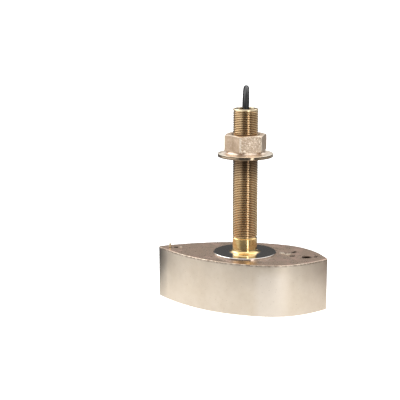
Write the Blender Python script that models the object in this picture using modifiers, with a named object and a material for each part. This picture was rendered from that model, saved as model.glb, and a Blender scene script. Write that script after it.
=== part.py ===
"""Through-hull sonar transducer with an almond-shaped cast bronze housing, a threaded hollow stem,
a flanged hull nut, two ranges of piezo-ceramic elements inside and a coiled cable with its plug.

Metres, +Z up. The origin is below the middle of the housing's length, on its flat bottom face.
+X points to the blunt leading tip, which has the bolt hole; -X to the finer tip with the locating pin.
"""

import math

import bmesh
import bpy
from mathutils import Matrix, Vector

# Clearance between separate pieces
GAP = 0.0003

# Cast housing: an almond in plan, with its greatest width nearer the blunt tip
HOUSING_LENGTH = 0.2126
HOUSING_WIDTH = 0.1101
HOUSING_HEIGHT = 0.0625
WIDEST_X = 0.0173
FINE_POWER = 2.08
BLUNT_POWER = 2.92
TIP_RADIUS = 0.0045
DRAFT = 0.0003
RIM_CHAMFER = 0.0006
TOP_EDGE_RADIUS = 0.0009
WALL = 0.005
ROOF = 0.006
CAVITY_TIP_RADIUS = 0.003
CAVITY_FILLET = 0.003

# Machined spot face and the hollow threaded stem
STEM_X = 0.004
STEM_DIAMETER = 0.03016
STEM_TOP_Z = 0.2391
STEM_BORE = 0.0196
STEM_CHAMFER = 0.0012
STEM_FILLET = 0.0042
PLAIN_BAND = 0.0186
THREAD_DEPTH = 0.0011
BAND_GROOVE = 0.0012
SPOT_FACE_DIAMETER = 0.0761
SPOT_FACE_HEIGHT = 0.0018
SPOT_FACE_CHAMFER = 0.0005

# Blind hole for the bolt that stops the housing turning, and the locating pin, set out from the tips
BOLT_FROM_TIP = 0.0255
BOLT_HOLE_DIAMETER = 0.0100
BOLT_CHAMFER = 0.0006
BOSS_WALL = 0.0045
BOSS_CLEARANCE = 0.0011
PIN_FROM_TIP = 0.0148
PIN_Y = -0.0015
PIN_DIAMETER = 0.0024
PIN_WAIST = 0.0018
PIN_PROUD = 0.0058
PIN_DEPTH = 0.0055

# Hull nut, and the hull it grips over the spot face
HULL_GRIP = 0.117
NUT_HEIGHT = 0.0272
NUT_ACROSS_FLATS = 0.046
NUT_TURN = math.radians(32)
NUT_CHAMFER_ANGLE = math.radians(17)
NUT_FACE_DIAMETER = 0.0450
NUT_COUNTERSINK = 0.0016
FLANGE_DIAMETER = 0.0671
FLANGE_RIM = 0.0040
FLANGE_EDGE = 0.0004
FLANGE_SLOPE = 0.0007
FLARE_RADIUS = 0.0042

# Urethane window, ceramics and what carries and backs them; the webs are foam left between them
WINDOW_THICKNESS = 0.007
WINDOW_EDGE = 0.0008
ARRAY_X = 0.024
ARRAY_WEB = 0.0018
ARRAY_SIDE_WEB = 0.0063
DISC_END_WEB = 0.0080
DISC_SIDE_WEB = 0.0050
DISC_HEIGHT = 0.0105
ELECTRODE = 0.0003
PUCK_MARGIN = 0.004
CARRIER_CLEARANCE = 0.0006
LINER_THICKNESS = 0.002
CORK_THICKNESS = 0.006
CORK_MARGIN = 0.003
LEAD_HOLE_DIAMETER = 0.005

# Water temperature sensor
SENSOR_FROM_TIP = 0.0208
SENSOR_DIAMETER = 0.0078
SENSOR_COVER = 0.0123
SENSOR_DOME = 0.0012

# Circuit board and matching transformer, in the room over the cork
ELECTRONICS_ROOM = 0.0176
BOARD_FROM_LEAD = 0.0054
BOARD_FROM_STEM = 0.024
BOARD_WIDTH = 0.028
BOARD_THICKNESS = 0.0016
CHIP_LENGTH = 0.0098
CHIP_WIDTH = 0.0062
CHIP_HEIGHT = 0.0022
CHIP_EDGE = 0.0003
CAPACITOR_DIAMETER = 0.0075
CAPACITOR_HEIGHT = 0.0062
CORE_DIAMETER = 0.024
CORE_HEADROOM = 0.0033
CORE_WALL = 0.0022
CORE_POST_DIAMETER = 0.009
CORE_BASE = 0.002
WINDING_CLEARANCE = 0.0005

# Cable, its seal in the stem and the wires beyond the stripped end
CABLE_DIAMETER = 0.007
SEAL_RECESS = 0.0096
SEAL_LENGTH = 0.0145
SEAL_DISH = 0.0010
WIRE_DIAMETER = 0.0015
PAD_PITCH = 0.0048
WIRE_BEND = 0.010
WIRE_LANDING = 0.006
PAD_LENGTH = 0.005
PAD_INSET = 0.002
LEAD_LIFT = 0.0008
LEAD_NAMES = ("sensor_lead", "disc_lead", "array_lead")
ELEMENT_PAD_Y = 0.006
ARRAY_PAD_Y = 0.012

# Coil of the spare cable, its ties and the plug that lies on it
COIL_X = -0.031
COIL_Y = 0.137
COIL_BASE_Z = 0.0012
COIL_MEAN_RADIUS = 0.0572
COIL_BOTTOM_WIDTH = 0.0558
COIL_TOP_WIDTH = 0.0420
COIL_HEIGHT = 0.0193
COIL_CORNER = 0.0030
TIE_WIDTH = 0.014
TIE_THICKNESS = 0.0008
TIE_ANGLES = (math.radians(-148), math.radians(32))
PLUG_X = -0.071
PLUG_Y = 0.091
RING_DIAMETER = 0.022
RING_LENGTH = 0.019
RING_LIP = 0.0016
SHELL_DIAMETER = 0.0168
SHELL_START = 0.0032
SHELL_LENGTH = 0.027
SHELL_WALL = 0.0012
SHELL_COLLAR = 0.0026
INSERT_LENGTH = 0.014
INSERT_RECESS = 0.0045
CONTACT_COUNT = 5
CONTACT_DIAMETER = 0.0016
CONTACT_CIRCLE = 0.0078
CONTACT_PROUD = 0.0040
BOOT_LENGTH = 0.028
BOOT_TIP_DIAMETER = 0.0100
BOOT_GRIP = 0.010
O_RING_SECTION = 0.0012

# Route of the free cable, from the stripped end in the stem, over and down behind it, on to the coil
CABLE_ROUTE = (
    (0.0040, 0.0000, 0.2135),
    (0.0040, 0.0000, 0.2215),
    (0.0040, 0.0000, 0.2290),
    (0.0041, 0.0013, 0.2392),
    (0.0030, 0.0069, 0.2495),
    (0.0007, 0.0154, 0.2565),
    (-0.0022, 0.0257, 0.2598),
    (-0.0056, 0.0364, 0.2589),
    (-0.0088, 0.0459, 0.2537),
    (-0.0112, 0.0529, 0.2452),
    (-0.0125, 0.0562, 0.2340),
    (-0.0131, 0.0575, 0.2130),
    (-0.0122, 0.0585, 0.1840),
    (-0.0107, 0.0606, 0.1500),
    (-0.0090, 0.0623, 0.1160),
    (-0.0072, 0.0636, 0.0840),
    (-0.0060, 0.0642, 0.0575),
    (-0.0079, 0.0643, 0.0449),
    (-0.0138, 0.0638, 0.0348),
    (-0.0242, 0.0632, 0.0272),
    (-0.0368, 0.0632, 0.0245),
    (-0.0492, 0.0663, 0.0245),
    (-0.0601, 0.0717, 0.0245),
)
TAIL_ROUTE = (
    (-0.0215, 0.0910, 0.0318),
    (-0.0145, 0.0910, 0.0318),
    (-0.0068, 0.0910, 0.0317),
    (0.0059, 0.0939, 0.0307),
    (0.0164, 0.1019, 0.0284),
    (0.0225, 0.1136, 0.0260),
    (0.0230, 0.1268, 0.0247),
    (0.0184, 0.1380, 0.0245),
    (0.0110, 0.1460, 0.0245),
)
CABLE_POINT_SPACING = 0.0145
WIRE_POINT_SPACING = 0.009

# Fineness of the round shapes
FLANK_POINTS = 12
TIP_POINTS = 3
ROUND_STEPS = 40
MEDIUM_STEPS = 28
SMALL_STEPS = 20
OVERRUN = 0.002

# Levels worked out from the values above: the electronics hang from the roof, the ceramics fill the rest
CAVITY_TOP_Z = HOUSING_HEIGHT - ROOF
SPOT_FACE_Z = HOUSING_HEIGHT + SPOT_FACE_HEIGHT
THREAD_START_Z = SPOT_FACE_Z + PLAIN_BAND
NUT_SEAT_Z = SPOT_FACE_Z + HULL_GRIP
SEAL_BOTTOM_Z = STEM_TOP_Z - SEAL_RECESS - SEAL_LENGTH
WINDOW_TOP_Z = GAP + WINDOW_THICKNESS
ELEMENT_Z = WINDOW_TOP_Z + GAP
CORK_TOP_Z = CAVITY_TOP_Z - ELECTRONICS_ROOM
CORK_Z = CORK_TOP_Z - CORK_THICKNESS
ARRAY_TOP_Z = CORK_Z - GAP
SENSOR_TOP_Z = ARRAY_TOP_Z - SENSOR_COVER
BOARD_Z = CORK_TOP_Z + GAP
BOARD_TOP_Z = BOARD_Z + BOARD_THICKNESS
CORE_TOP_Z = CAVITY_TOP_Z - CORE_HEADROOM
BOLT_FLOOR_Z = CORK_TOP_Z + BOSS_CLEARANCE + BOSS_WALL
COIL_TOP_Z = COIL_BASE_Z + COIL_HEIGHT
PLUG_Z = COIL_TOP_Z + GAP + RING_DIAMETER / 2

# Places along the housing, and the sizes of what fits between them
BOSS_RADIUS = BOLT_HOLE_DIAMETER / 2 + BOSS_WALL
BOLT_HOLE_X = HOUSING_LENGTH / 2 - BOLT_FROM_TIP
PIN_X = PIN_FROM_TIP - HOUSING_LENGTH / 2
SENSOR_X = SENSOR_FROM_TIP - HOUSING_LENGTH / 2
CARRIER_INSET = WALL + LINER_THICKNESS + 2 * GAP
ARRAY_REACH = HOUSING_WIDTH / 2 - CARRIER_INSET - ARRAY_SIDE_WEB
ARRAY_SPACING = (ARRAY_REACH + ARRAY_WEB / 2) / (math.sin(math.radians(60)) + 0.5)
ARRAY_DIAMETER = ARRAY_SPACING - ARRAY_WEB
DISC_ROOM = (SENSOR_X + SENSOR_DIAMETER / 2, ARRAY_X - ARRAY_SPACING - ARRAY_DIAMETER / 2)
DISC_X = sum(DISC_ROOM) / 2
TRANSFORMER_X = (STEM_X + STEM_BORE / 2 + BOLT_HOLE_X - BOSS_RADIUS) / 2


def clear_scene():
    """Remove what an empty file starts with."""
    for item in list(bpy.data.objects):
        bpy.data.objects.remove(item, do_unlink=True)


def new_collection(name):
    group = bpy.data.collections.new(name)
    bpy.context.scene.collection.children.link(group)
    return group


clear_scene()
PARTS = new_collection("sonar_transducer")
CUTTERS = new_collection("cutters")


def new_material(name, colour, roughness, metallic=0.0):
    """A Principled material of one colour."""
    material = bpy.data.materials.new(name)
    material.use_nodes = True
    shader = material.node_tree.nodes["Principled BSDF"]
    shader.inputs["Base Color"].default_value = (*colour, 1)
    shader.inputs["Roughness"].default_value = roughness
    shader.inputs["Metallic"].default_value = metallic
    material.diffuse_color = (*colour, 1)
    return material


def place(name, data, material=None, at=(0, 0, 0), turn=(0, 0, 0)):
    """Put an object in the parts, or in the hidden cutters where it has no material."""
    item = bpy.data.objects.new(name, data)
    item.location = at
    item.rotation_euler = turn
    if material:
        data.materials.append(material)
        PARTS.objects.link(item)
    else:
        CUTTERS.objects.link(item)
        item.hide_render = True
        item.display_type = "WIRE"
    return item


def mesh_from(name, bm):
    """A mesh with smooth faces and sharp edges."""
    mesh = bpy.data.meshes.new(name)
    bm.to_mesh(mesh)
    bm.free()
    mesh.shade_smooth()
    mesh.set_sharp_from_angle(angle=math.radians(30))
    return mesh


def cylinder(name, radius, bottom, top, material=None, at=(0, 0), steps=SMALL_STEPS, turn=0.0):
    """An upright cylinder between two heights; six steps make a hexagon."""
    bm = bmesh.new()
    bmesh.ops.create_cone(
        bm,
        segments=steps,
        cap_ends=True,
        radius1=radius,
        radius2=radius,
        depth=top - bottom,
        matrix=Matrix.Translation((0, 0, (bottom + top) / 2)) @ Matrix.Rotation(turn, 4, "Z"),
    )
    return place(name, mesh_from(name, bm), material, at=(*at, 0))


def box(name, size, centre, material, edge=0.0):
    """A block with lightly rounded edges."""
    bm = bmesh.new()
    bmesh.ops.create_cube(bm, size=1, matrix=Matrix.Diagonal((*size, 1)))
    item = place(name, mesh_from(name, bm), material, at=centre)
    if edge:
        bevel = item.modifiers.new("edges", "BEVEL")
        bevel.width = edge
        bevel.segments = 2
    return item


def arc(centre_r, centre_z, radius, start, end, steps):
    """Points of an arc in a profile's plane; the angles are in degrees."""
    angles = [math.radians(start + (end - start) * i / steps) for i in range(steps + 1)]
    return [(centre_r + radius * math.cos(a), centre_z + radius * math.sin(a)) for a in angles]


def turned(
    name,
    profile,
    material=None,
    at=(0, 0, 0),
    turn=(0, 0, 0),
    steps=ROUND_STEPS,
    ring=False,
    sweep=2 * math.pi,
):
    """A turned shape: the profile runs down the outer side; a ring's profile closes on itself."""
    mesh = bpy.data.meshes.new(name)
    count = len(profile)
    edges = [(i, i + 1) for i in range(count - 1)]
    if ring:
        edges.append((count - 1, 0))
    mesh.from_pydata([(r, 0, z) for r, z in profile], edges, [])
    item = place(name, mesh, material, at=at, turn=turn)
    screw = item.modifiers.new("turn", "SCREW")
    screw.axis = "Z"
    screw.angle = sweep
    screw.steps = steps
    screw.render_steps = steps
    screw.use_merge_vertices = True
    screw.merge_threshold = 0.00001
    screw.use_smooth_shade = True
    return item


def combine(target, tool, operation):
    """Cut a tool from a piece, join it on, or keep what they share."""
    boolean = target.modifiers.new(tool.name, "BOOLEAN")
    boolean.operation = operation
    boolean.object = tool
    boolean.solver = "EXACT"


def flank_point(u, span, power, inset):
    """A point on one flank, moved inwards by inset: how far from the widest place, and how far out."""
    half_width = HOUSING_WIDTH / 2
    slope = -half_width * power * u ** (power - 1) / span
    stretch = math.hypot(1, slope)
    return span * u + inset * slope / stretch, half_width * (1 - u**power) - inset / stretch


def tip_parameter(span, power, inset):
    """Where on the flank its inset curve meets the centre line."""
    low = 0.3
    high = 1.0
    for _ in range(40):
        middle = (low + high) / 2
        if flank_point(middle, span, power, inset)[1] > 0:
            low = middle
        else:
            high = middle
    return low


def flank_span(reach, power):
    """Length of the flank's curve, run on to a sharp point, so that its rounded tip ends at reach."""
    span = reach
    for _ in range(20):
        u = tip_parameter(span, power, TIP_RADIUS)
        span += reach - flank_point(u, span, power, TIP_RADIUS)[0] - TIP_RADIUS
    return span


BLUNT_SPAN = flank_span(HOUSING_LENGTH / 2 - WIDEST_X, BLUNT_POWER)
FINE_SPAN = flank_span(HOUSING_LENGTH / 2 + WIDEST_X, FINE_POWER)


def flank(span, power, inset, tip_radius):
    """Points of a quarter of the plan, from the widest place to the middle of the rounded tip."""
    end = tip_parameter(span, power, inset + tip_radius)
    points = [flank_point(end * i / FLANK_POINTS, span, power, inset) for i in range(FLANK_POINTS + 1)]
    centre = flank_point(end, span, power, inset + tip_radius)[0]
    x, y = points[-1]
    start = math.atan2(y, x - centre)
    for i in range(1, TIP_POINTS + 1):
        angle = start * (1 - i / TIP_POINTS)
        points.append((centre + tip_radius * math.cos(angle), tip_radius * math.sin(angle)))
    points[-1] = (points[-1][0], 0.0)
    return points


def almond(z, inset, tip_radius):
    """One level section of the housing's form, counter-clockwise seen from above."""
    blunt = [(WIDEST_X + x, y) for x, y in flank(BLUNT_SPAN, BLUNT_POWER, inset, tip_radius)]
    fine = [(WIDEST_X - x, y) for x, y in flank(FINE_SPAN, FINE_POWER, inset, tip_radius)]
    upper = blunt[::-1] + fine[1:]
    lower = [(x, -y) for x, y in upper[-2:0:-1]]
    return [Vector((x, y, z)) for x, y in upper + lower]


def lofted(name, sections, material=None):
    """A solid through level almond sections, each given as height, inset and tip radius."""
    bm = bmesh.new()
    rings = [[bm.verts.new(point) for point in almond(*section)] for section in sections]
    for lower, upper in zip(rings, rings[1:]):
        for i, corner in enumerate(lower):
            j = (i + 1) % len(lower)
            bm.faces.new((corner, lower[j], upper[j], upper[i]))
    bm.faces.new(rings[0][::-1])
    bm.faces.new(rings[-1])
    return place(name, mesh_from(name, bm), material)


def smooth_route(points, spacing):
    """Points at an even spacing on a smooth curve through the route's points."""
    knots = [Vector(point) for point in points]
    knots = [2 * knots[0] - knots[1], *knots, 2 * knots[-1] - knots[-2]]
    fine = []
    for a, b, c, d in zip(knots, knots[1:], knots[2:], knots[3:]):
        for i in range(20):
            t = i / 20
            fine.append(0.5 * (2 * b + (c - a) * t + (2 * a - 5 * b + 4 * c - d) * t**2
                               + (3 * b - a - 3 * c + d) * t**3))
    fine.append(knots[-2])
    reached = [0.0]
    for a, b in zip(fine, fine[1:]):
        reached.append(reached[-1] + (b - a).length)
    count = max(2, round(reached[-1] / spacing))
    even = []
    place_in = 0
    for step in range(count):
        wanted = reached[-1] * step / count
        while reached[place_in + 1] < wanted:
            place_in += 1
        share = (wanted - reached[place_in]) / (reached[place_in + 1] - reached[place_in])
        even.append(fine[place_in].lerp(fine[place_in + 1], share))
    return [*even, fine[-1]]


def tube(name, route, diameter, material, spacing, resolution=2):
    """A round cable or wire along a route."""
    curve = bpy.data.curves.new(name, "CURVE")
    curve.dimensions = "3D"
    curve.bevel_depth = diameter / 2
    curve.bevel_resolution = resolution
    curve.use_fill_caps = True
    points = smooth_route(route, spacing)
    spline = curve.splines.new("POLY")
    spline.points.add(len(points) - 1)
    for target, point in zip(spline.points, points):
        target.co = (*point, 1)
    return place(name, curve, material)


def build_housing(bronze):
    """The casting: drafted almond body, spot face, hollow stem, cored inside, with two bosses."""
    edge = TOP_EDGE_RADIUS
    sections = [(0.0, DRAFT + RIM_CHAMFER, TIP_RADIUS - DRAFT - RIM_CHAMFER)]
    sections.append((RIM_CHAMFER, DRAFT, TIP_RADIUS - DRAFT))
    for angle in (0, 30, 60, 90):
        inset = edge * (1 - math.cos(math.radians(angle)))
        level = HOUSING_HEIGHT - edge + edge * math.sin(math.radians(angle))
        sections.append((level, inset, TIP_RADIUS - inset))
    housing = lofted("housing", sections, bronze)

    combine(housing, turned("stem_and_spot_face", stem_profile(), at=(STEM_X, 0, 0)), "UNION")

    fillet = CAVITY_FILLET
    cavity = [(-OVERRUN, WALL, CAVITY_TIP_RADIUS)]
    for angle in (0, 45, 90):
        inset = fillet * (1 - math.cos(math.radians(angle)))
        level = CAVITY_TOP_Z - fillet + fillet * math.sin(math.radians(angle))
        cavity.append((level, WALL + inset, CAVITY_TIP_RADIUS))
    combine(housing, lofted("cavity", cavity), "DIFFERENCE")

    bolt_at = (BOLT_HOLE_X, 0)
    boss_top = CAVITY_TOP_Z + ROOF / 2
    bolt_boss = cylinder("bolt_boss", BOSS_RADIUS, BOLT_FLOOR_Z - BOSS_WALL, boss_top, at=bolt_at)
    combine(housing, bolt_boss, "UNION")
    bolt_hole = turned("bolt_hole", bolt_hole_profile(), at=(*bolt_at, 0), steps=SMALL_STEPS)
    combine(housing, bolt_hole, "DIFFERENCE")

    pin_floor = HOUSING_HEIGHT - PIN_DEPTH - GAP
    pin_radius = PIN_DIAMETER / 2 + GAP
    pin_boss = cylinder("pin_boss", pin_radius + BOSS_WALL / 2, pin_floor - BOSS_WALL / 2, boss_top,
                        at=(PIN_X, PIN_Y))
    combine(housing, pin_boss, "UNION")
    pin_hole = cylinder("pin_hole", pin_radius, pin_floor, HOUSING_HEIGHT + OVERRUN, at=(PIN_X, PIN_Y))
    combine(housing, pin_hole, "DIFFERENCE")

    bore = cylinder("stem_bore", STEM_BORE / 2, CAVITY_TOP_Z - OVERRUN, STEM_TOP_Z + OVERRUN, at=(STEM_X, 0),
                    steps=ROUND_STEPS)
    combine(housing, bore, "DIFFERENCE")
    return housing


def stem_profile():
    """From the top of the stem down its outside, round the fillet and over the spot face."""
    radius = STEM_DIAMETER / 2
    root = radius - THREAD_DEPTH
    disc = SPOT_FACE_DIAMETER / 2
    profile = [(0, STEM_TOP_Z), (radius - STEM_CHAMFER, STEM_TOP_Z), (radius, STEM_TOP_Z - STEM_CHAMFER)]
    profile += [(radius, THREAD_START_Z + BAND_GROOVE), (root, THREAD_START_Z + BAND_GROOVE / 2)]
    profile.append((radius, THREAD_START_Z))
    profile += arc(radius + STEM_FILLET, SPOT_FACE_Z + STEM_FILLET, STEM_FILLET, 180, 270, 5)
    profile += [(disc - SPOT_FACE_CHAMFER, SPOT_FACE_Z), (disc, SPOT_FACE_Z - SPOT_FACE_CHAMFER)]
    profile += [(disc, HOUSING_HEIGHT - ROOF / 2), (0, HOUSING_HEIGHT - ROOF / 2)]
    return profile


def bolt_hole_profile():
    """The blind hole's drilled form, with a chamfered mouth and a drill point."""
    radius = BOLT_HOLE_DIAMETER / 2
    mouth = HOUSING_HEIGHT + OVERRUN
    wide = radius + BOLT_CHAMFER
    profile = [(0, mouth), (wide + OVERRUN, mouth), (radius, HOUSING_HEIGHT - BOLT_CHAMFER)]
    return profile + [(radius, BOLT_FLOOR_Z), (0, BOLT_FLOOR_Z - radius * math.tan(math.radians(20)))]


def build_pin(steel):
    """The locating pin: waisted between its head and its seat in the housing."""
    radius = PIN_DIAMETER / 2
    waist = PIN_WAIST / 2
    top = HOUSING_HEIGHT + PIN_PROUD
    bottom = HOUSING_HEIGHT - PIN_DEPTH
    middle = HOUSING_HEIGHT + PIN_PROUD / 2
    profile = [(0, top), (waist * 0.7, top), (waist, top - waist * 0.4), (waist, middle)]
    profile += [(radius, HOUSING_HEIGHT + PIN_PROUD / 4), (radius, bottom), (0, bottom)]
    turned("locating_pin", profile, steel, at=(PIN_X, PIN_Y, 0), steps=16)


def build_nut(bronze):
    """The flanged hexagon nut: shallow crown chamfer, flared foot, countersunk bore."""
    flat = NUT_ACROSS_FLATS / 2
    corner = flat / math.cos(math.radians(30))
    top = NUT_SEAT_Z + NUT_HEIGHT
    rim_top = NUT_SEAT_Z + FLANGE_RIM
    foot_z = NUT_SEAT_Z + FLANGE_RIM / 2
    nut = cylinder("hull_nut", corner, foot_z, top, bronze, at=(STEM_X, 0), steps=6, turn=NUT_TURN)

    face = NUT_FACE_DIAMETER / 2
    skirt = corner + OVERRUN
    drop = (skirt - face) * math.tan(NUT_CHAMFER_ANGLE)
    crown = [(0, top + OVERRUN), (face - OVERRUN / math.tan(NUT_CHAMFER_ANGLE), top + OVERRUN)]
    crown += [(skirt, top - drop), (skirt, NUT_SEAT_Z - OVERRUN), (0, NUT_SEAT_Z - OVERRUN)]
    combine(nut, turned("nut_crown", crown, at=(STEM_X, 0, 0)), "INTERSECT")

    rim = FLANGE_DIAMETER / 2
    foot = flat - OVERRUN
    shoulder = rim_top + FLANGE_SLOPE
    flange = [(0, shoulder + FLARE_RADIUS), (foot, shoulder + FLARE_RADIUS)]
    flange += arc(foot + FLARE_RADIUS, shoulder + FLARE_RADIUS, FLARE_RADIUS, 180, 262, 6)
    flange += [(rim - FLANGE_EDGE, rim_top + FLANGE_EDGE / 4), (rim, rim_top - FLANGE_EDGE)]
    flange += [(rim, NUT_SEAT_Z + FLANGE_EDGE), (rim - FLANGE_EDGE, NUT_SEAT_Z), (0, NUT_SEAT_Z)]
    combine(nut, turned("nut_flange", flange, at=(STEM_X, 0, 0)), "UNION")

    bore = STEM_DIAMETER / 2 + GAP
    mouth = bore + NUT_COUNTERSINK + OVERRUN
    profile = [(0, top + OVERRUN), (mouth, top + OVERRUN), (bore, top - NUT_COUNTERSINK)]
    profile += [(bore, NUT_SEAT_Z + NUT_COUNTERSINK), (mouth, NUT_SEAT_Z - OVERRUN)]
    profile.append((0, NUT_SEAT_Z - OVERRUN))
    combine(nut, turned("nut_bore", profile, at=(STEM_X, 0, 0)), "DIFFERENCE")


def array_places():
    """Centres of the seven low-frequency elements: one in the middle, six round it."""
    places = [(ARRAY_X, 0.0)]
    for i in range(6):
        angle = math.radians(60 * i)
        places.append((ARRAY_X + ARRAY_SPACING * math.cos(angle), ARRAY_SPACING * math.sin(angle)))
    return places


def build_window(urethane):
    """The urethane face that closes the housing, with a hole for the temperature sensor."""
    inset = WALL + GAP
    tip = CAVITY_TIP_RADIUS - GAP
    sections = [(GAP, inset + WINDOW_EDGE, tip - WINDOW_EDGE), (GAP + WINDOW_EDGE, inset, tip)]
    sections.append((WINDOW_TOP_Z, inset, tip))
    window = lofted("acoustic_window", sections, urethane)
    radius = SENSOR_DIAMETER / 2 + GAP
    hole = cylinder("sensor_hole", radius, -OVERRUN, WINDOW_TOP_Z + OVERRUN, at=(SENSOR_X, 0))
    combine(window, hole, "DIFFERENCE")


def disc_radius():
    """The disc fills its room between sensor and array, and keeps a web to the carrier's flanks."""
    outline = almond(ELEMENT_Z, CARRIER_INSET, CAVITY_TIP_RADIUS - GAP)
    to_flank = min(math.hypot(point[0] - DISC_X, point[1]) for point in outline)
    half_room = (DISC_ROOM[1] - DISC_ROOM[0]) / 2
    return min(half_room - DISC_END_WEB, to_flank - DISC_SIDE_WEB)


def build_elements(ceramic, foam, cork):
    """The ceramics on the window, the foam that carries them, the wall liner and the backing."""
    for number, at in enumerate(array_places(), 1):
        name = f"ceramic_50khz_{number}"
        edge = ELECTRODE
        radius = ARRAY_DIAMETER / 2
        profile = [(0, ARRAY_TOP_Z), (radius - edge, ARRAY_TOP_Z), (radius, ARRAY_TOP_Z - edge)]
        profile += [(radius, ELEMENT_Z + edge), (radius - edge, ELEMENT_Z), (0, ELEMENT_Z)]
        turned(name, profile, ceramic, at=(*at, 0), steps=MEDIUM_STEPS)
    disc_top = ELEMENT_Z + DISC_HEIGHT
    radius = disc_radius()
    profile = [(0, disc_top), (radius - ELECTRODE, disc_top), (radius, disc_top - ELECTRODE)]
    profile += [(radius, ELEMENT_Z + ELECTRODE), (radius - ELECTRODE, ELEMENT_Z), (0, ELEMENT_Z)]
    turned("ceramic_200khz", profile, ceramic, at=(DISC_X, 0, 0))

    liner_inset = WALL + GAP
    liner_tip = CAVITY_TIP_RADIUS - GAP
    liner = lofted("wall_liner", [(z, liner_inset, liner_tip) for z in (ELEMENT_Z, ARRAY_TOP_Z)], cork)
    core_inset = liner_inset + LINER_THICKNESS
    core = [(z, core_inset, liner_tip) for z in (ELEMENT_Z - OVERRUN, ARRAY_TOP_Z + OVERRUN)]
    combine(liner, lofted("liner_core", core), "DIFFERENCE")

    levels = (ELEMENT_Z, ARRAY_TOP_Z)
    carrier = lofted("element_carrier", [(z, CARRIER_INSET, liner_tip) for z in levels], foam)
    pockets = [(at, ARRAY_DIAMETER / 2) for at in array_places()]
    pockets += [((DISC_X, 0), disc_radius()), ((SENSOR_X, 0), SENSOR_DIAMETER / 2)]
    for number, (at, held) in enumerate(pockets, 1):
        radius = held + CARRIER_CLEARANCE
        pocket = cylinder(f"pocket_{number}", radius, ELEMENT_Z - OVERRUN, ARRAY_TOP_Z + OVERRUN, at=at)
        combine(carrier, pocket, "DIFFERENCE")

    puck_radius = disc_radius() - PUCK_MARGIN
    puck_z = disc_top + GAP
    cylinder("backing_puck", puck_radius, puck_z, ARRAY_TOP_Z, cork, at=(DISC_X, 0), steps=MEDIUM_STEPS)
    cork_inset = WALL + CORK_MARGIN
    backing = lofted("cork_backing", [(z, cork_inset, CAVITY_TIP_RADIUS) for z in (CORK_Z, CORK_TOP_Z)], cork)
    radius = LEAD_HOLE_DIAMETER / 2
    for number, at in enumerate(lead_holes(), 1):
        hole = cylinder(f"lead_hole_{number}", radius, CORK_Z - OVERRUN, CORK_TOP_Z + OVERRUN, at=at)
        combine(backing, hole, "DIFFERENCE")


def lead_holes():
    """Where leads pass the cork: over the sensor, beside the disc's backing and over the array."""
    beside_puck = DISC_X - disc_radius() + PUCK_MARGIN / 2
    return (SENSOR_X, 0), (beside_puck, 0), (ARRAY_X - ARRAY_SPACING, -ARRAY_DIAMETER / 3)


def board_ends():
    """The board's two ends: clear of the disc's lead, and short of where the wires come down the stem."""
    return lead_holes()[1][0] + BOARD_FROM_LEAD, STEM_X - BOARD_FROM_STEM


def build_sensor(steel):
    """The temperature sensor's capsule, flush with the window."""
    radius = SENSOR_DIAMETER / 2
    top = SENSOR_TOP_Z
    profile = [(0, top), (radius - SENSOR_DOME, top), (radius, top - SENSOR_DOME)]
    profile += [(radius, GAP + SENSOR_DOME), (radius - SENSOR_DOME, GAP), (0, GAP)]
    turned("temperature_sensor", profile, steel, at=(SENSOR_X, 0, 0), steps=SMALL_STEPS)


def build_electronics(board_green, chip_black, capacitor_blue, ferrite, copper):
    """The identity board with its parts, and the matching transformer in its pot core."""
    far_x, near_x = board_ends()
    middle_x = (far_x + near_x) / 2
    board_size = (near_x - far_x, BOARD_WIDTH, BOARD_THICKNESS)
    box("circuit_board", board_size, (middle_x, 0, BOARD_Z + BOARD_THICKNESS / 2), board_green)
    chip_size = (CHIP_LENGTH, CHIP_WIDTH, CHIP_HEIGHT)
    chip_z = BOARD_TOP_Z + GAP + CHIP_HEIGHT / 2
    box("identity_chip", chip_size, (middle_x, 0, chip_z), chip_black, edge=CHIP_EDGE)
    capacitor_x = far_x + CAPACITOR_DIAMETER
    radius = CAPACITOR_DIAMETER / 2
    bottom = BOARD_TOP_Z + GAP
    for number, side in enumerate((-1, 1), 1):
        at = (capacitor_x, side * CAPACITOR_DIAMETER)
        cylinder(f"capacitor_{number}", radius, bottom, bottom + CAPACITOR_HEIGHT, capacitor_blue, at=at)

    outer = CORE_DIAMETER / 2
    inner = outer - CORE_WALL
    post = CORE_POST_DIAMETER / 2
    top = CORE_TOP_Z
    floor = BOARD_Z + CORE_BASE
    core = [(0, top), (post, top), (post, floor), (inner, floor), (inner, top), (outer, top)]
    core += [(outer, BOARD_Z), (0, BOARD_Z)]
    turned("transformer_core", core, ferrite, at=(TRANSFORMER_X, 0, 0), steps=MEDIUM_STEPS)
    slack = WINDING_CLEARANCE
    winding = [(inner - slack, top - slack), (inner - slack, floor + slack)]
    winding += [(post + slack, floor + slack), (post + slack, top - slack)]
    turned("transformer_winding", winding, copper, at=(TRANSFORMER_X, 0, 0), steps=MEDIUM_STEPS, ring=True)


def build_stem_seal(rubber):
    """The moulded seal between the cable's jacket and the stem's bore."""
    outer = STEM_BORE / 2 - GAP
    inner = CABLE_DIAMETER / 2 + GAP
    top = SEAL_BOTTOM_Z + SEAL_LENGTH
    profile = [(outer, top), (outer, SEAL_BOTTOM_Z), (inner, SEAL_BOTTOM_Z), (inner, top - SEAL_DISH)]
    profile.append(((outer + inner) / 2, top - SEAL_DISH))
    turned("stem_seal", profile, rubber, at=(STEM_X, 0, 0), steps=MEDIUM_STEPS, ring=True)


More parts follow.
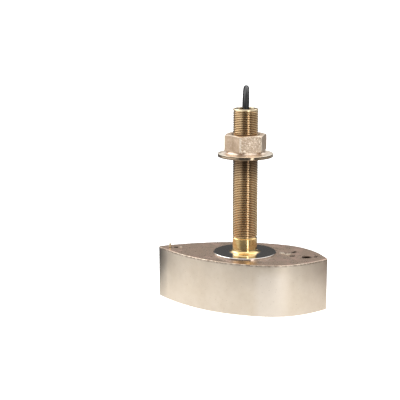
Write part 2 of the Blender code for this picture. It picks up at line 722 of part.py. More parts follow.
def build_wires(colours):
    """Conductors from the stripped end down the stem to the board, and the leads to the elements."""
    strip = CABLE_ROUTE[0][2] - GAP
    entry = CAVITY_TOP_Z + ROOF
    far_x, pad_x = board_ends()
    rest = BOARD_TOP_Z + GAP + WIRE_DIAMETER / 2
    for number, colour in enumerate(colours):
        row = number - (len(colours) - 1) / 2
        bundled = (WIRE_DIAMETER + GAP) * row
        pad_y = PAD_PITCH * row
        route = [(STEM_X, bundled, strip + (entry - strip) * step / 4) for step in range(5)]
        route.append((STEM_X - WIRE_BEND, (bundled + pad_y) / 2, CAVITY_TOP_Z - ROOF))
        route.append((pad_x + WIRE_LANDING, pad_y * 0.9, rest + WIRE_DIAMETER))
        route += [(pad_x, pad_y, rest), (pad_x - PAD_LENGTH, pad_y, rest)]
        tube(f"conductor_{colour.name}", route, WIRE_DIAMETER, colour, WIRE_POINT_SPACING, resolution=1)

    inner_pad = far_x + PAD_INSET
    starts = (SENSOR_TOP_Z, ELEMENT_Z + DISC_HEIGHT, ARRAY_TOP_Z)
    pads = ((inner_pad, ELEMENT_PAD_Y), (inner_pad, -ELEMENT_PAD_Y), (pad_x - PAD_LENGTH, -ARRAY_PAD_Y))
    for name, (x, y), start, (end_x, end_y) in zip(LEAD_NAMES, lead_holes(), starts, pads):
        route = [(x, y, start + GAP), (x, y, (start + CORK_TOP_Z) / 2), (x, y, CORK_TOP_Z)]
        route += [((x + end_x) / 2, y + (end_y - y) * 0.8, rest + LEAD_LIFT), (end_x, end_y, rest)]
        tube(name, route, WIRE_DIAMETER, colours[0], WIRE_POINT_SPACING / 2, resolution=1)


def coil_section(grow):
    """Half section of the coil's bundle, grown by grow, with rounded corners; runs down its outer side."""
    bottom = COIL_BOTTOM_WIDTH / 2
    top = COIL_TOP_WIDTH / 2
    lean = math.degrees(math.atan2(bottom - top, COIL_HEIGHT))
    radius = COIL_CORNER
    inner_z = COIL_TOP_Z - radius
    outer_z = COIL_BASE_Z + radius
    side = arc(COIL_MEAN_RADIUS + top - radius, inner_z, radius + grow, 90, lean, 4)
    side += arc(COIL_MEAN_RADIUS + bottom - radius, outer_z, radius + grow, lean, -90, 5)
    mirrored = [(2 * COIL_MEAN_RADIUS - r, z) for r, z in side]
    return side + mirrored[::-1]


def build_cord(jacket, tie_fabric):
    """The free cable, the coil of its spare length, the tail to the plug and the two ties."""
    tube("cable", CABLE_ROUTE, CABLE_DIAMETER, jacket, CABLE_POINT_SPACING)
    tube("cable_tail", TAIL_ROUTE, CABLE_DIAMETER, jacket, CABLE_POINT_SPACING)
    centre = (COIL_X, COIL_Y, 0)
    turned("cable_coil", coil_section(0.0), jacket, at=centre, steps=MEDIUM_STEPS, ring=True)
    for number, angle in enumerate(TIE_ANGLES, 1):
        width = TIE_WIDTH / COIL_MEAN_RADIUS
        turn = (0, 0, angle - width / 2)
        tie = turned(f"coil_tie_{number}", coil_section(GAP), tie_fabric, at=centre, turn=turn, steps=4,
                     ring=True, sweep=width)
        shell = tie.modifiers.new("thickness", "SOLIDIFY")
        shell.thickness = TIE_THICKNESS
        shell.offset = 1.0


def build_plug(plastic, nickel, insert_black, gold, rubber):
    """The round plug on the cable's end: coupling ring, shell, insert, contacts, O-ring and boot."""
    def on_axis(name, profile, material, steps=ROUND_STEPS, ring=False):
        centre = (PLUG_X, PLUG_Y, PLUG_Z)
        return turned(name, profile, material, at=centre, turn=(0, math.pi / 2, 0), steps=steps, ring=ring)

    ring = RING_DIAMETER / 2
    shell = SHELL_DIAMETER / 2
    ring_bore = shell + GAP
    front_bore = shell + O_RING_SECTION + 2 * GAP
    profile = [(ring, RING_LENGTH - RING_LIP / 2), (ring, RING_LIP / 2), (ring - RING_LIP / 2, 0)]
    profile += [(front_bore, 0), (front_bore, RING_LENGTH - 2 * RING_LIP)]
    profile.append((ring_bore, RING_LENGTH - 2 * RING_LIP))
    profile += [(ring_bore, RING_LENGTH), (ring - RING_LIP / 2, RING_LENGTH)]
    on_axis("plug_coupling_ring", profile, nickel, steps=MEDIUM_STEPS, ring=True)

    shell_end = SHELL_START + SHELL_LENGTH
    bore = shell - SHELL_WALL
    collar = shell + SHELL_COLLAR - RING_LIP
    profile = [(shell, shell_end), (collar, shell_end - SHELL_COLLAR / 4), (collar, RING_LENGTH + 4 * GAP)]
    profile += [(shell, RING_LENGTH + 2 * GAP), (shell, SHELL_START), (bore, SHELL_START), (bore, shell_end)]
    on_axis("plug_shell", profile, plastic, steps=MEDIUM_STEPS, ring=True)

    insert_start = SHELL_START + INSERT_RECESS
    insert_end = insert_start + INSERT_LENGTH
    insert_radius = bore - GAP
    profile = [(0, insert_end), (insert_radius, insert_end), (insert_radius, insert_start), (0, insert_start)]
    insert = on_axis("plug_insert", profile, insert_black, steps=MEDIUM_STEPS)
    o_ring_r = shell + GAP + O_RING_SECTION / 2
    o_ring_z = SHELL_START + SHELL_LENGTH * 0.2
    section = arc(o_ring_r, o_ring_z, O_RING_SECTION / 2, 90, -210, 5)
    on_axis("plug_o_ring", section, rubber, steps=MEDIUM_STEPS, ring=True)

    for number in range(1, CONTACT_COUNT + 1):
        angle = 2 * math.pi * number / CONTACT_COUNT
        y = PLUG_Y + CONTACT_CIRCLE / 2 * math.cos(angle)
        z = PLUG_Z + CONTACT_CIRCLE / 2 * math.sin(angle)
        radius = CONTACT_DIAMETER / 2
        start = insert_start - CONTACT_PROUD
        tail = insert_end + OVERRUN / 2
        profile = [(0, tail), (radius, tail), (radius, start + radius), (radius / 2, start), (0, start)]
        turned(f"plug_contact_{number}", profile, gold, at=(PLUG_X, y, z), turn=(0, math.pi / 2, 0), steps=12)
        hole_radius = radius + GAP
        profile = [(0, insert_end + OVERRUN), (hole_radius, insert_end + OVERRUN)]
        profile += [(hole_radius, insert_start - OVERRUN), (0, insert_start - OVERRUN)]
        hole = turned(f"contact_hole_{number}", profile, at=(PLUG_X, y, z), turn=(0, math.pi / 2, 0),
                      steps=12)
        combine(insert, hole, "DIFFERENCE")

    boot_start = shell_end + GAP
    boot_end = boot_start + BOOT_LENGTH
    tip = BOOT_TIP_DIAMETER / 2
    grip = CABLE_DIAMETER / 2 + GAP
    profile = [(0, boot_end - BOOT_GRIP), (grip, boot_end - BOOT_GRIP), (grip, boot_end), (tip, boot_end)]
    profile += [((tip + shell) / 2, boot_start + BOOT_LENGTH * 0.35), (shell, boot_start + BOOT_LENGTH * 0.1)]
    profile += [(shell, boot_start), (0, boot_start)]
    on_axis("plug_boot", profile, rubber, steps=MEDIUM_STEPS)


def main():
    cast_bronze = new_material("cast_bronze", (0.62, 0.48, 0.33), 0.38, 1.0)
    nut_bronze = new_material("nut_bronze", (0.60, 0.44, 0.30), 0.42, 1.0)
    steel = new_material("stainless_steel", (0.75, 0.75, 0.74), 0.3, 1.0)
    urethane = new_material("urethane", (0.02, 0.02, 0.02), 0.45)
    ceramic = new_material("silvered_ceramic", (0.72, 0.70, 0.66), 0.4, 0.6)
    foam = new_material("syntactic_foam", (0.16, 0.12, 0.08), 0.8)
    cork = new_material("cork", (0.42, 0.27, 0.15), 0.9)
    board = new_material("board_green", (0.02, 0.16, 0.06), 0.5)
    chip = new_material("chip_black", (0.02, 0.02, 0.02), 0.5)
    capacitor = new_material("capacitor_blue", (0.03, 0.10, 0.35), 0.4)
    ferrite = new_material("ferrite", (0.06, 0.06, 0.065), 0.5)
    copper = new_material("enamelled_copper", (0.60, 0.22, 0.10), 0.35, 1.0)
    jacket = new_material("cable_jacket", (0.015, 0.015, 0.016), 0.3)
    rubber = new_material("black_rubber", (0.02, 0.02, 0.02), 0.6)
    fabric = new_material("tie_fabric", (0.02, 0.02, 0.022), 0.9)
    plastic = new_material("plug_plastic", (0.03, 0.03, 0.03), 0.45)
    nickel = new_material("nickelled_brass", (0.66, 0.63, 0.58), 0.28, 1.0)
    insert = new_material("insert_black", (0.03, 0.03, 0.032), 0.5)
    gold = new_material("gold_contacts", (0.83, 0.60, 0.22), 0.25, 1.0)
    wires = [new_material("red", (0.5, 0.02, 0.02), 0.4), new_material("black", (0.02, 0.02, 0.02), 0.4),
             new_material("white", (0.7, 0.7, 0.68), 0.4), new_material("brown", (0.15, 0.06, 0.02), 0.4)]

    build_housing(cast_bronze)
    build_pin(steel)
    build_nut(nut_bronze)
    build_window(urethane)
    build_elements(ceramic, foam, cork)
    build_sensor(steel)
    build_electronics(board, chip, capacitor, ferrite, copper)
    build_stem_seal(rubber)
    build_wires(wires)
    build_cord(jacket, fabric)
    build_plug(plastic, nickel, insert, gold, rubber)


main()
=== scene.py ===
"""Through-hull sonar transducer: cast bronze housing and stem, flanged hull nut, coiled cable with its plug.

Metres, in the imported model's frame: +Z up the stem, +X to the housing's blunt tip.
"""

import math

import bmesh
import bpy
import numpy as np
from mathutils import Matrix, Vector, noise


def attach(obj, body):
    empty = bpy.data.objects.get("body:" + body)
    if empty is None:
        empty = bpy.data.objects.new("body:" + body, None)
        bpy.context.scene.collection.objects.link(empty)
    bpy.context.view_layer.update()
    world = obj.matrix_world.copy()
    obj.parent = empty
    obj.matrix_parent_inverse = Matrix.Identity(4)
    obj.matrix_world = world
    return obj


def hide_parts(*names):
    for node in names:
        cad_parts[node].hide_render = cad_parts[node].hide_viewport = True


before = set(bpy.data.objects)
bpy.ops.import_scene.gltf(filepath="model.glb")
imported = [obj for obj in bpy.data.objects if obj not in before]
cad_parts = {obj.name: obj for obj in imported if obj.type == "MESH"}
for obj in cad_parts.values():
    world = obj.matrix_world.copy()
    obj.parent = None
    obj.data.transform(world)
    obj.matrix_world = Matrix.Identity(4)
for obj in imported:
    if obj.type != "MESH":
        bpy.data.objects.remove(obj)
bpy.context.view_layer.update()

# Cast housing
HOUSING_LENGTH = 0.2126
HOUSING_WIDTH = 0.1101
HOUSING_HEIGHT = 0.0625
WIDEST_X = 0.0173
FINE_POWER = 2.08
BLUNT_POWER = 2.92
TIP_RADIUS = 0.0045
FLANK_POINTS = 52
TIP_POINTS = 8
DRAFT = 0.0003
RIM_CHAMFER = 0.0006
EDGE_RADIUS = 0.0008
EDGE_RADII = (0.0003, 0.0015)
WALL = 0.005
CEILING_Z = 0.0565
CAVITY_TIP_RADIUS = 0.003
CAVITY_FILLET = 0.003
GAP = 0.0003

# Spot face and stem
STEM_X = 0.004
STEM_RADIUS = 0.01508
STEM_TOP_Z = 0.2391
STEM_CHAMFER = 0.0006
BORE_RADIUS = 0.0098
STEM_FILLET = 0.0042
THREAD_START_Z = 0.0817
THREAD_END_Z = 0.2367
THREAD_CREST = 0.01518
THREAD_ROOT = 0.01392
THREAD_CORE = 0.0136
THREAD_PITCH = 0.0254 / 12
THREAD_COLUMNS = 96
# Shares of the pitch: the crest's flat, the root's flat, and where the root begins
CREST_FLAT, ROOT_FLAT, ROOT_START = 0.26, 0.12, 0.57
RELIEF_GROOVE = 0.0012
SPOT_FACE_RADII = (0.03805, 0.03755, 0.033, 0.028, 0.0235)
SPOT_FACE_Z = 0.0643
SPOT_FACE_CHAMFER = 0.0005

# Hull nut
NUT_SEAT_Z = 0.1813
NUT_TOP_Z = 0.2085
NUT_FLAT = 0.023
NUT_CORNER = 0.0258
NUT_SHARPNESS = 110.0
NUT_TURN = math.radians(32)
NUT_CROWN = math.radians(17)
NUT_FACE = 0.0225
NUT_FACE_INNER = 0.0195
NUT_EDGE = 0.0004
NUT_BORE = 0.01538
NUT_COUNTERSINK = 0.0016
FLANGE_RADIUS = 0.03355
FLANGE_TOP_Z = NUT_SEAT_Z + 0.0040
FLANGE_RINGS = (0.0318, 0.0300)
FLANGE_SLOPE = 0.0007
FLARE_RADIUS = 0.0042
# The way out of the one face left coarser by the casting
COARSE_FACE = (math.cos(math.radians(-58)), math.sin(math.radians(-58)), 0.0)

# Holes, pin and marks in the housing's top
BOLT_X = 0.0808
BOLT_RADIUS = 0.005
BOLT_FLOOR_Z = 0.0445
BOSS_WALL = 0.0045
PIN_PLACE = (-0.0915, -0.0015)
PIN_FLOOR_Z = 0.0567
PIN_LOW_Z = 0.0570
PORE_PLACE = (0.0500, -0.0529, 0.0430)
SENSOR_X = -0.0855
SENSOR_RADIUS = 0.0039
SENSOR_TOP_Z = 0.0203
WINDOW_TOP_Z = 0.0073
WINDOW_EDGE = 0.0008
PAD_HEIGHT = 0.0008
# A mark's section, as shares of its height and size, and its corners as a share of the shorter half
PAD_SECTION = ((-1, 0), (-1, 1.04), (0.3, 1), (1, 0.8), (1, 0))
PAD_CORNER = 0.35
# Blank raised bars and hollows where the casting has its marks: place, size, turn
TOP_BARS = (
    ((-0.0795, 0.0040), (0.0032, 0.0062), 0.4),
    ((0.0480, 0.0105), (0.0055, 0.0100), 0.5),
    ((0.0570, 0.0070), (0.0040, 0.0110), -0.5),
)
TOP_HOLLOWS = (
    ((-0.0842, 0.0000), (0.0050, 0.0060), 0.2),
    ((0.0632, 0.0000), (0.0060, 0.0050), 0.3),
    ((0.0610, 0.0190), (0.0045, 0.0080), -0.3),
    ((0.0898, 0.0062), (0.0011, 0.0095), 0),
    ((0.0919, 0.0062), (0.0011, 0.0095), 0),
)

# Cable, coil and plug
CABLE_RADIUS = 0.0035
CABLE_STEP = 0.0075
SEAL_HEIGHTS = (0.2150, 0.2295)
COIL_CENTRE = (-0.031, 0.137)
COIL_MEAN_RADIUS = 0.0572
COIL_START = math.radians(-140)
COIL_STEP = math.radians(12)
TURN_SPACING = 0.00706
LAYER_RISE = 0.0061
BOTTOM_LAYER_Z = 0.0047
LAYER_TURNS = (8, 7, 6)
SHIFT_ANGLE = math.radians(-55)
SHIFT_LENGTH = 0.030
LAYER_BULGE = 0.002
CROSSING_RISE = 0.0009
TIE_ANGLES = (math.radians(-148), math.radians(32))
TIE_WIDTH = 0.014
TIE_THICKNESS = 0.0008
TIE_GAP = 0.00015
WEAVE_PITCH = 0.0007
PLUG = (-0.071, 0.091, 0.0318)
CABLE_ROUTE = (
    (0.0040, 0.0000, 0.2135), (0.0040, 0.0000, 0.2215), (0.0040, 0.0000, 0.2290), (0.0041, 0.0013, 0.2392),
    (0.0030, 0.0069, 0.2495), (0.0007, 0.0154, 0.2565), (-0.0022, 0.0257, 0.2598), (-0.0056, 0.0364, 0.2589),
    (-0.0088, 0.0459, 0.2537), (-0.0112, 0.0529, 0.2452), (-0.0125, 0.0562, 0.2340),
    (-0.0131, 0.0575, 0.2130), (-0.0122, 0.0585, 0.1840), (-0.0107, 0.0606, 0.1500),
    (-0.0090, 0.0623, 0.1160), (-0.0072, 0.0636, 0.0840), (-0.0060, 0.0642, 0.0575),
    (-0.0079, 0.0643, 0.0449), (-0.0138, 0.0638, 0.0348), (-0.0242, 0.0632, 0.0272),
    (-0.0368, 0.0632, 0.0245), (-0.0492, 0.0663, 0.0245), (-0.0601, 0.0717, 0.0245),
)
TAIL_ROUTE = (
    (0.0110, 0.1460, 0.0248), (0.0184, 0.1380, 0.0245), (0.0230, 0.1268, 0.0247), (0.0225, 0.1136, 0.0260),
    (0.0164, 0.1019, 0.0284), (0.0059, 0.0939, 0.0307), (-0.0068, 0.0910, 0.0317), (-0.0145, 0.0910, 0.0318),
    (-0.0215, 0.0910, 0.0318),
)
# Where the cable comes on to the coil, and how it leaves the bottom layer: angle in degrees, distance, height
DIP = (-127, 0.0732, 0.0210)
RISE = ((150, 0.0325, 0.0047), (135, 0.0321, 0.0049), (120, 0.0312, 0.0060), (105, 0.0301, 0.0082),
        (90, 0.0292, 0.0111), (75, 0.0291, 0.0144), (60, 0.0299, 0.0178), (45, 0.0318, 0.0208),
        (32, 0.0342, 0.0233), (21, 0.0384, 0.0248))

# Camera, fitted to the photograph's frame of 400 by 400 pixels
FOCAL_PIXELS = 1200.47
PICTURE_PIXELS = 400
CAMERA_PLACE = (0.3789, -1.3700, 0.4211)
CAMERA_RIGHT = (0.9538, 0.3006, -0.0007)
CAMERA_DOWN = (0.0601, -0.1932, -0.9793)
SENSOR_WIDTH = 36.0

# Studio: name, azimuth in degrees from the front to the right, height, distance, size, power
LAMPS = (
    ("key", 44, 0.72, 1.5, (0.34, 1.5), 4.5),
    ("fill", -102, 1.7, 1.8, (1.5, 1.5), 18.0),
    ("overhead", 180, 1.30, 0.90, (1.6, 1.6), 5.0),
)
LAMP_AIM = (0.0, 0.0, 0.10)
# Surrounding light by a direction's height: dark up to the first, bright from the second, lower at the sides
WORLD_HEIGHTS = (0.26, 0.62)
WORLD_SHADES = (0.10, 1.60)
LEFT_DROP = 0.22
RIGHT_DROP = 0.14
FLOOR_RADIUS = 40.0
FLOOR_LIFT = 0.75
# What the metal sees in the floor, as light given off: a table near by, and beyond it by azimuth
TABLE_EDGE = (0.25, 0.33)
TABLE_TONE = 0.93
LEFT_TONES = (0.52, 1.50)
STRIP_TONE = 3.2
RIGHT_TONE = 0.48


def make_camera():
    """The photograph's viewpoint."""
    data = bpy.data.cameras.new("camera")
    data.sensor_width = SENSOR_WIDTH
    data.lens = FOCAL_PIXELS / PICTURE_PIXELS * SENSOR_WIDTH
    data.clip_start = 0.05
    data.clip_end = 100.0
    right = Vector(CAMERA_RIGHT).normalized()
    down = Vector(CAMERA_DOWN)
    down = (down - right * down.dot(right)).normalized()
    back = down.cross(right)
    camera = bpy.data.objects.new("camera", data)
    turn = Matrix((right, -down, back)).transposed().to_4x4()
    camera.matrix_world = Matrix.Translation(CAMERA_PLACE) @ turn
    bpy.context.scene.collection.objects.link(camera)
    bpy.context.scene.camera = camera


make_camera()


class Value:
    """A node's output, for sums written with the usual signs."""

    def __init__(self, nodes, socket):
        self.nodes, self.socket = nodes, socket

    def __add__(self, other):
        return self.nodes.math("ADD", self, other)

    def __sub__(self, other):
        return self.nodes.math("SUBTRACT", self, other)

    def __rsub__(self, other):
        return self.nodes.math("SUBTRACT", other, self)

    def __mul__(self, other):
        return self.nodes.math("MULTIPLY", self, other)

    def __truediv__(self, other):
        return self.nodes.math("DIVIDE", self, other)

    def __rtruediv__(self, other):
        return self.nodes.math("DIVIDE", other, self)


class Nodes:
    """Adds nodes to one tree; an input is a constant or a Value, and a colour is its red, green and blue."""

    def __init__(self, tree):
        self.tree = tree

    def feed(self, socket, value):
        if isinstance(value, Value):
            self.tree.links.new(value.socket, socket)
        elif value is not None:
            socket.default_value = (*value, 1.0) if socket.type == "RGBA" else value

    def add(self, kind, inputs=(), output=0, **settings):
        """One new node's output, or all its outputs by name where none is asked for."""
        node = self.tree.nodes.new(kind)
        for name, value in settings.items():
            setattr(node, name, value)
        for key, value in dict(inputs).items():
            self.feed(node.inputs[key], value)
        if output is None:
            return {socket.name: Value(self, socket) for socket in node.outputs}
        return Value(self, node.outputs[output])

    def math(self, operation, *values):
        return self.add("ShaderNodeMath", enumerate(values), operation=operation)

    def vector(self, operation, *values, output=0):
        return self.add("ShaderNodeVectorMath", enumerate(values), output, operation=operation)

    def split(self, vector):
        return self.add("ShaderNodeSeparateXYZ", {0: vector}, None).values()

    def noise(self, vector, scale, detail=2.0, roughness=0.5):
        inputs = {"Vector": vector, "Scale": scale, "Detail": detail, "Roughness": roughness}
        return self.add("ShaderNodeTexNoise", inputs, "Fac")

    def lines(self, along, scale, detail=2.0):
        """Noise that changes only along one number."""
        inputs = {"W": along, "Scale": scale, "Detail": detail}
        return self.add("ShaderNodeTexNoise", inputs, "Fac", noise_dimensions="1D")

    def cells(self, vector, scale):
        return self.add("ShaderNodeTexVoronoi", {"Vector": vector, "Scale": scale}, "Distance")

    def spread(self, value, low, high, to_low=0.0, to_high=1.0):
        return self.add("ShaderNodeMapRange", enumerate((value, low, high, to_low, to_high)))

    def mix(self, factor, first, second):
        return self.add("ShaderNodeMix", {0: factor, 6: first, 7: second}, 2, data_type="RGBA")

    def bump(self, height, strength, distance):
        return self.add("ShaderNodeBump", {"Height": height, "Strength": strength, "Distance": distance})

    def result(self, **values):
        """Feeds a group's outputs, which finishes it."""
        end = self.tree.nodes.new("NodeGroupOutput")
        for name, value in values.items():
            self.feed(end.inputs[name], value)
        return self.tree


ORIGIN = (0.0, 0.0, 0.0)
SOCKETS = {float: "NodeSocketFloat", int: "NodeSocketInt", tuple: "NodeSocketVector",
           type(None): "NodeSocketMaterial"}


def new_group(name, inputs, outputs=("Geometry",)):
    """An empty node group and its inputs by name; each input's default says what kind of socket it is."""
    shapes = "Geometry" in outputs
    tree = bpy.data.node_groups.new(name, "GeometryNodeTree" if shapes else "ShaderNodeTree")
    for label, value in inputs.items():
        item = tree.interface.new_socket(label, in_out="INPUT", socket_type=SOCKETS[type(value)])
        if value is not None:
            item.default_value = value
    for label in outputs:
        kind = "NodeSocketGeometry" if shapes else "NodeSocketFloat"
        tree.interface.new_socket(label, in_out="OUTPUT", socket_type=kind)
    nodes = Nodes(tree)
    return nodes, nodes.add("NodeGroupInput", output=None)


def cast_skin():
    """The skin of a casting: broad mottling, fine grain, and scattered pits."""
    nodes, given = new_group("cast_skin", {"Vector": ORIGIN, "Patch Size": 0.012, "Grain Size": 0.0006},
                             ("Mottle", "Grain", "Pits"))
    place = given["Vector"]
    patch, grain = 1.0 / given["Patch Size"], 1.0 / given["Grain Size"]
    mottle = nodes.noise(place, patch, 4.0, 0.6) * 0.65 + nodes.noise(place, patch * 4.3, 3.0, 0.6) * 0.35
    powder = nodes.noise(place, grain * 0.8, 3.0, 0.7)
    return nodes.result(Mottle=nodes.spread(mottle, 0.35, 0.65),
                        Grain=nodes.cells(place, grain) * 0.5 + powder,
                        Pits=nodes.spread(nodes.cells(place, grain * 0.16), 0.06, 0.14, 1.0, 0.0))


def tool_marks():
    """Turning marks: fine and coarse ridges that change only across the tool's path."""
    nodes, given = new_group("tool_marks", {"Across": 0.0, "Spacing": 0.0003}, ("Height", "Streaks"))
    density = 1.0 / given["Spacing"]
    fine = nodes.lines(given["Across"], density, 2.0)
    coarse = nodes.lines(given["Across"], density * 0.13, 1.0)
    return nodes.result(Height=fine * 0.5 + coarse * 0.5, Streaks=nodes.spread(coarse, 0.35, 0.65))


def edge_wear():
    """Bright, broken wear where the piece's own edge attribute is high."""
    nodes, given = new_group("edge_wear", {"Vector": ORIGIN, "Size": 0.004, "Amount": 0.5}, ("Mask",))
    edge = nodes.add("ShaderNodeAttribute", output="Fac", attribute_name="edge")
    lifted = nodes.noise(given["Vector"], 1.0 / given["Size"], 4.0, 0.65) + (given["Amount"] - 0.5)
    return nodes.result(Mask=edge * nodes.spread(lifted, 0.42, 0.62))


def handling_marks():
    """Dust and faint scuffs on rubber and plastic."""
    nodes, given = new_group("handling_marks", {"Vector": ORIGIN, "Scale": 60.0}, ("Dust", "Scuffs", "Grain"))
    place, scale = given["Vector"], given["Scale"]
    stretched = nodes.add("ShaderNodeMapping", {"Vector": place, "Rotation": (0.4, 0.7, 0.2),
                                                "Scale": (1.0, 9.0, 1.0)})
    return nodes.result(Dust=nodes.spread(nodes.noise(place, scale, 5.0, 0.7), 0.48, 0.72),
                        Scuffs=nodes.spread(nodes.noise(stretched, scale * 3.0, 3.0, 0.6), 0.60, 0.72),
                        Grain=nodes.noise(place, scale * 40.0, 2.0))


CAST_SKIN = cast_skin()
TOOL_MARKS = tool_marks()
EDGE_WEAR = edge_wear()
HANDLING_MARKS = handling_marks()


class Finish(Nodes):
    """A material's nodes, with its Principled shader and the piece's own coordinates."""

    def __init__(self, name, metallic=0.0):
        self.material = bpy.data.materials.new(name)
        self.material.use_nodes = True
        super().__init__(self.material.node_tree)
        self.shader = self.tree.nodes["Principled BSDF"]
        self.shader.inputs["Metallic"].default_value = metallic
        self.place = self.add("ShaderNodeTexCoord", output="Object")

    def effect(self, tree, **inputs):
        named = {key.replace("_", " "): value for key, value in inputs.items()}
        return self.add("ShaderNodeGroup", named, None, node_tree=tree)

    def skin(self, patch, grain):
        return self.effect(CAST_SKIN, Vector=self.place, Patch_Size=patch, Grain_Size=grain)

    def wear(self, size, amount):
        return self.effect(EDGE_WEAR, Vector=self.place, Size=size, Amount=amount)["Mask"]

    def marks(self, scale):
        return self.effect(HANDLING_MARKS, Vector=self.place, Scale=scale)

    def unwrapped(self):
        """The numbers around and along in the piece's own map."""
        around, along, _ = self.split(self.add("ShaderNodeTexCoord", output="UV"))
        return around, along

    def from_stem(self):
        """The coordinates measured from the stem's axis."""
        return self.add("ShaderNodeMapping", {"Vector": self.place, "Location": (-STEM_X, 0, 0)})

    def about_stem(self):
        """The distance from the stem's axis, and the height."""
        x, y, z = self.split(self.from_stem())
        return self.math("SQRT", self.math("POWER", x, 2.0) + self.math("POWER", y, 2.0)), z

    def layers(self, base, *layers):
        """Colours laid over the base one after another, each by its own mask."""
        for mask, shade in layers:
            base = self.mix(mask, base, shade)
        return base

    def done(self, base, roughness, normal=None, **others):
        """Feeds the shader, the constants on its own sockets."""
        named = {key.replace("_", " "): value for key, value in others.items()}
        for key, value in {"Base Color": base, "Roughness": roughness, "Normal": normal, **named}.items():
            self.feed(self.shader.inputs[key], value)
        return self.material


def blasted_bronze():
    """The housing's sides: pale, evenly blasted, with painted shade towards the top, at the tips and under
    the top edge, and a painted highlight on one flank.
    """
    f = Finish("blasted_bronze", metallic=1.0)
    skin, wear = f.skin(0.026, 0.0007), f.wear(0.0035, 0.42)
    x, _, z = f.split(f.place)
    height = z + (f.noise(f.place, 45.0, 3.0) - 0.5) * 0.03
    blunt_tip, fine_tip = f.spread(x, 0.080, 0.108, 0.0, 0.40), f.spread(x, -0.106, -0.075, 0.8, 0.0)
    # Painted shade: the sides darker towards the top, most at the tips
    upper_painted_shade = f.math("POWER", f.spread(height, 0.016, 0.066), 1.6) * (blunt_tip + 0.32 + fine_tip)
    # Painted shade: the tips' ends darker still
    fine_tip_painted_shade = f.spread(x, -0.1065, -0.090, 1.0, 0.0) * f.spread(height, -0.022, 0.050)
    blunt_tip_painted_shade = f.spread(x, 0.080, 0.106, 0.0, 0.36) * f.spread(height, -0.030, 0.060)
    # Painted highlight: a lighter band across one flank
    flank_painted_highlight = f.spread(x, 0.029, 0.038) * f.spread(x, 0.060, 0.074, 0.34, 0.0)
    flank_painted_highlight *= f.spread(height, 0.046, 0.060, 1.0, 0.0)
    # Painted shade: a broken dark line just under the top edge
    under_edge_painted_shade = f.spread(z, 0.0600, 0.0612) * f.spread(f.noise(f.place, 260.0, 3.0), 0.36, 0.56, 0.0, 0.75)
    base = f.layers((0.80, 0.70, 0.575), (skin["Mottle"], (0.745, 0.64, 0.51)), (upper_painted_shade, (0.25, 0.21, 0.18)),
                    (fine_tip_painted_shade, (0.07, 0.065, 0.06)), (blunt_tip_painted_shade, (0.22, 0.12, 0.08)),
                    (flank_painted_highlight, (0.95, 0.88, 0.80)), (under_edge_painted_shade, (0.20, 0.15, 0.11)),
                    (skin["Pits"] * 0.35, (0.34, 0.26, 0.18)), (wear * 0.7, (0.94, 0.82, 0.68)))
    rough = f.spread(skin["Mottle"], 0, 1, 0.42, 0.48) - wear * 0.15
    return f.done(base, rough, f.bump(skin["Grain"], 0.25, 0.00004))


def drilled_bronze():
    """The walls of the blind holes, the pore and the marks' hollows: painted dark as shade."""
    f = Finish("drilled_bronze", metallic=1.0)
    skin = f.skin(0.004, 0.0005)
    # Painted shade: near black walls
    base = f.mix(skin["Mottle"], (0.10, 0.07, 0.05), (0.05, 0.035, 0.025))
    return f.done(base, 0.5, f.bump(skin["Grain"], 0.4, 0.00005))


def cast_bronze_top():
    """The housing's top: as cast, with pinkish patches, browner and darker than the sides, partly its own
    colour and partly painted shade.
    """
    f = Finish("cast_bronze_top", metallic=1.0)
    skin, wear = f.skin(0.009, 0.0009), f.wear(0.003, 0.42)
    pink = f.spread(f.noise(f.place, 55.0, 3.0), 0.5, 0.7, 0.0, 0.6)
    # The darker base colours are partly painted shade
    base = f.layers((0.59, 0.44, 0.325), (skin["Mottle"], (0.37, 0.25, 0.175)), (pink, (0.62, 0.41, 0.33)),
                    (wear * 0.7, (0.96, 0.86, 0.74)))
    return f.done(base, f.spread(skin["Mottle"], 0, 1, 0.24, 0.36), f.bump(skin["Grain"], 0.5, 0.00008))


def turned_bronze(name, light, dark, rough, strength, across="height", oil=0.0, spacing=0.00028, uneven=0.10):
    """Turned bronze; across is "radius" on a face, "height" on a cylinder; oil is a thin film over it."""
    f = Finish(name, metallic=1.0)
    radius, height = f.about_stem()
    marks = f.effect(TOOL_MARKS, Across=radius if across == "radius" else height, Spacing=spacing)
    share = marks["Streaks"] * 0.5 + f.skin(0.008, 0.0005)["Mottle"] * 0.5
    return f.done(f.mix(share, light, dark), f.spread(share, 0, 1, rough, rough + uneven),
                  f.bump(marks["Height"], strength, 0.00003), Coat_Weight=oil, Coat_Roughness=0.12)


def threaded_bronze():
    """The thread: golden crests, roots darkened by painted shade, and a painted shadow under the nut."""
    f = Finish("threaded_bronze", metallic=1.0)
    radius, z = f.about_stem()
    skin = f.skin(0.014, 0.0006)
    # Painted shade: the thread's roots darkened to brown
    root = f.spread(radius, THREAD_ROOT, STEM_RADIUS - 0.0003, 1.0, 0.0)
    # Painted shadow: the thread darkened to brown just under the nut's seat
    nut_painted_shadow = f.spread(z, NUT_SEAT_Z - 0.028, NUT_SEAT_Z - 0.005, 0.0, 0.92)
    nut_painted_shadow *= f.spread(z, NUT_SEAT_Z + 0.004, NUT_SEAT_Z + 0.014, 1.0, 0.0)
    base = f.layers((0.87, 0.66, 0.40), (skin["Mottle"], (0.72, 0.51, 0.275)), (nut_painted_shadow, (0.15, 0.085, 0.045)),
                    (root * 0.85, (0.20, 0.12, 0.05)))
    return f.done(base, f.spread(skin["Mottle"], 0, 1, 0.17, 0.23), f.bump(skin["Grain"], 0.1, 0.00002),
                  Coat_Weight=0.45, Coat_Roughness=0.15)


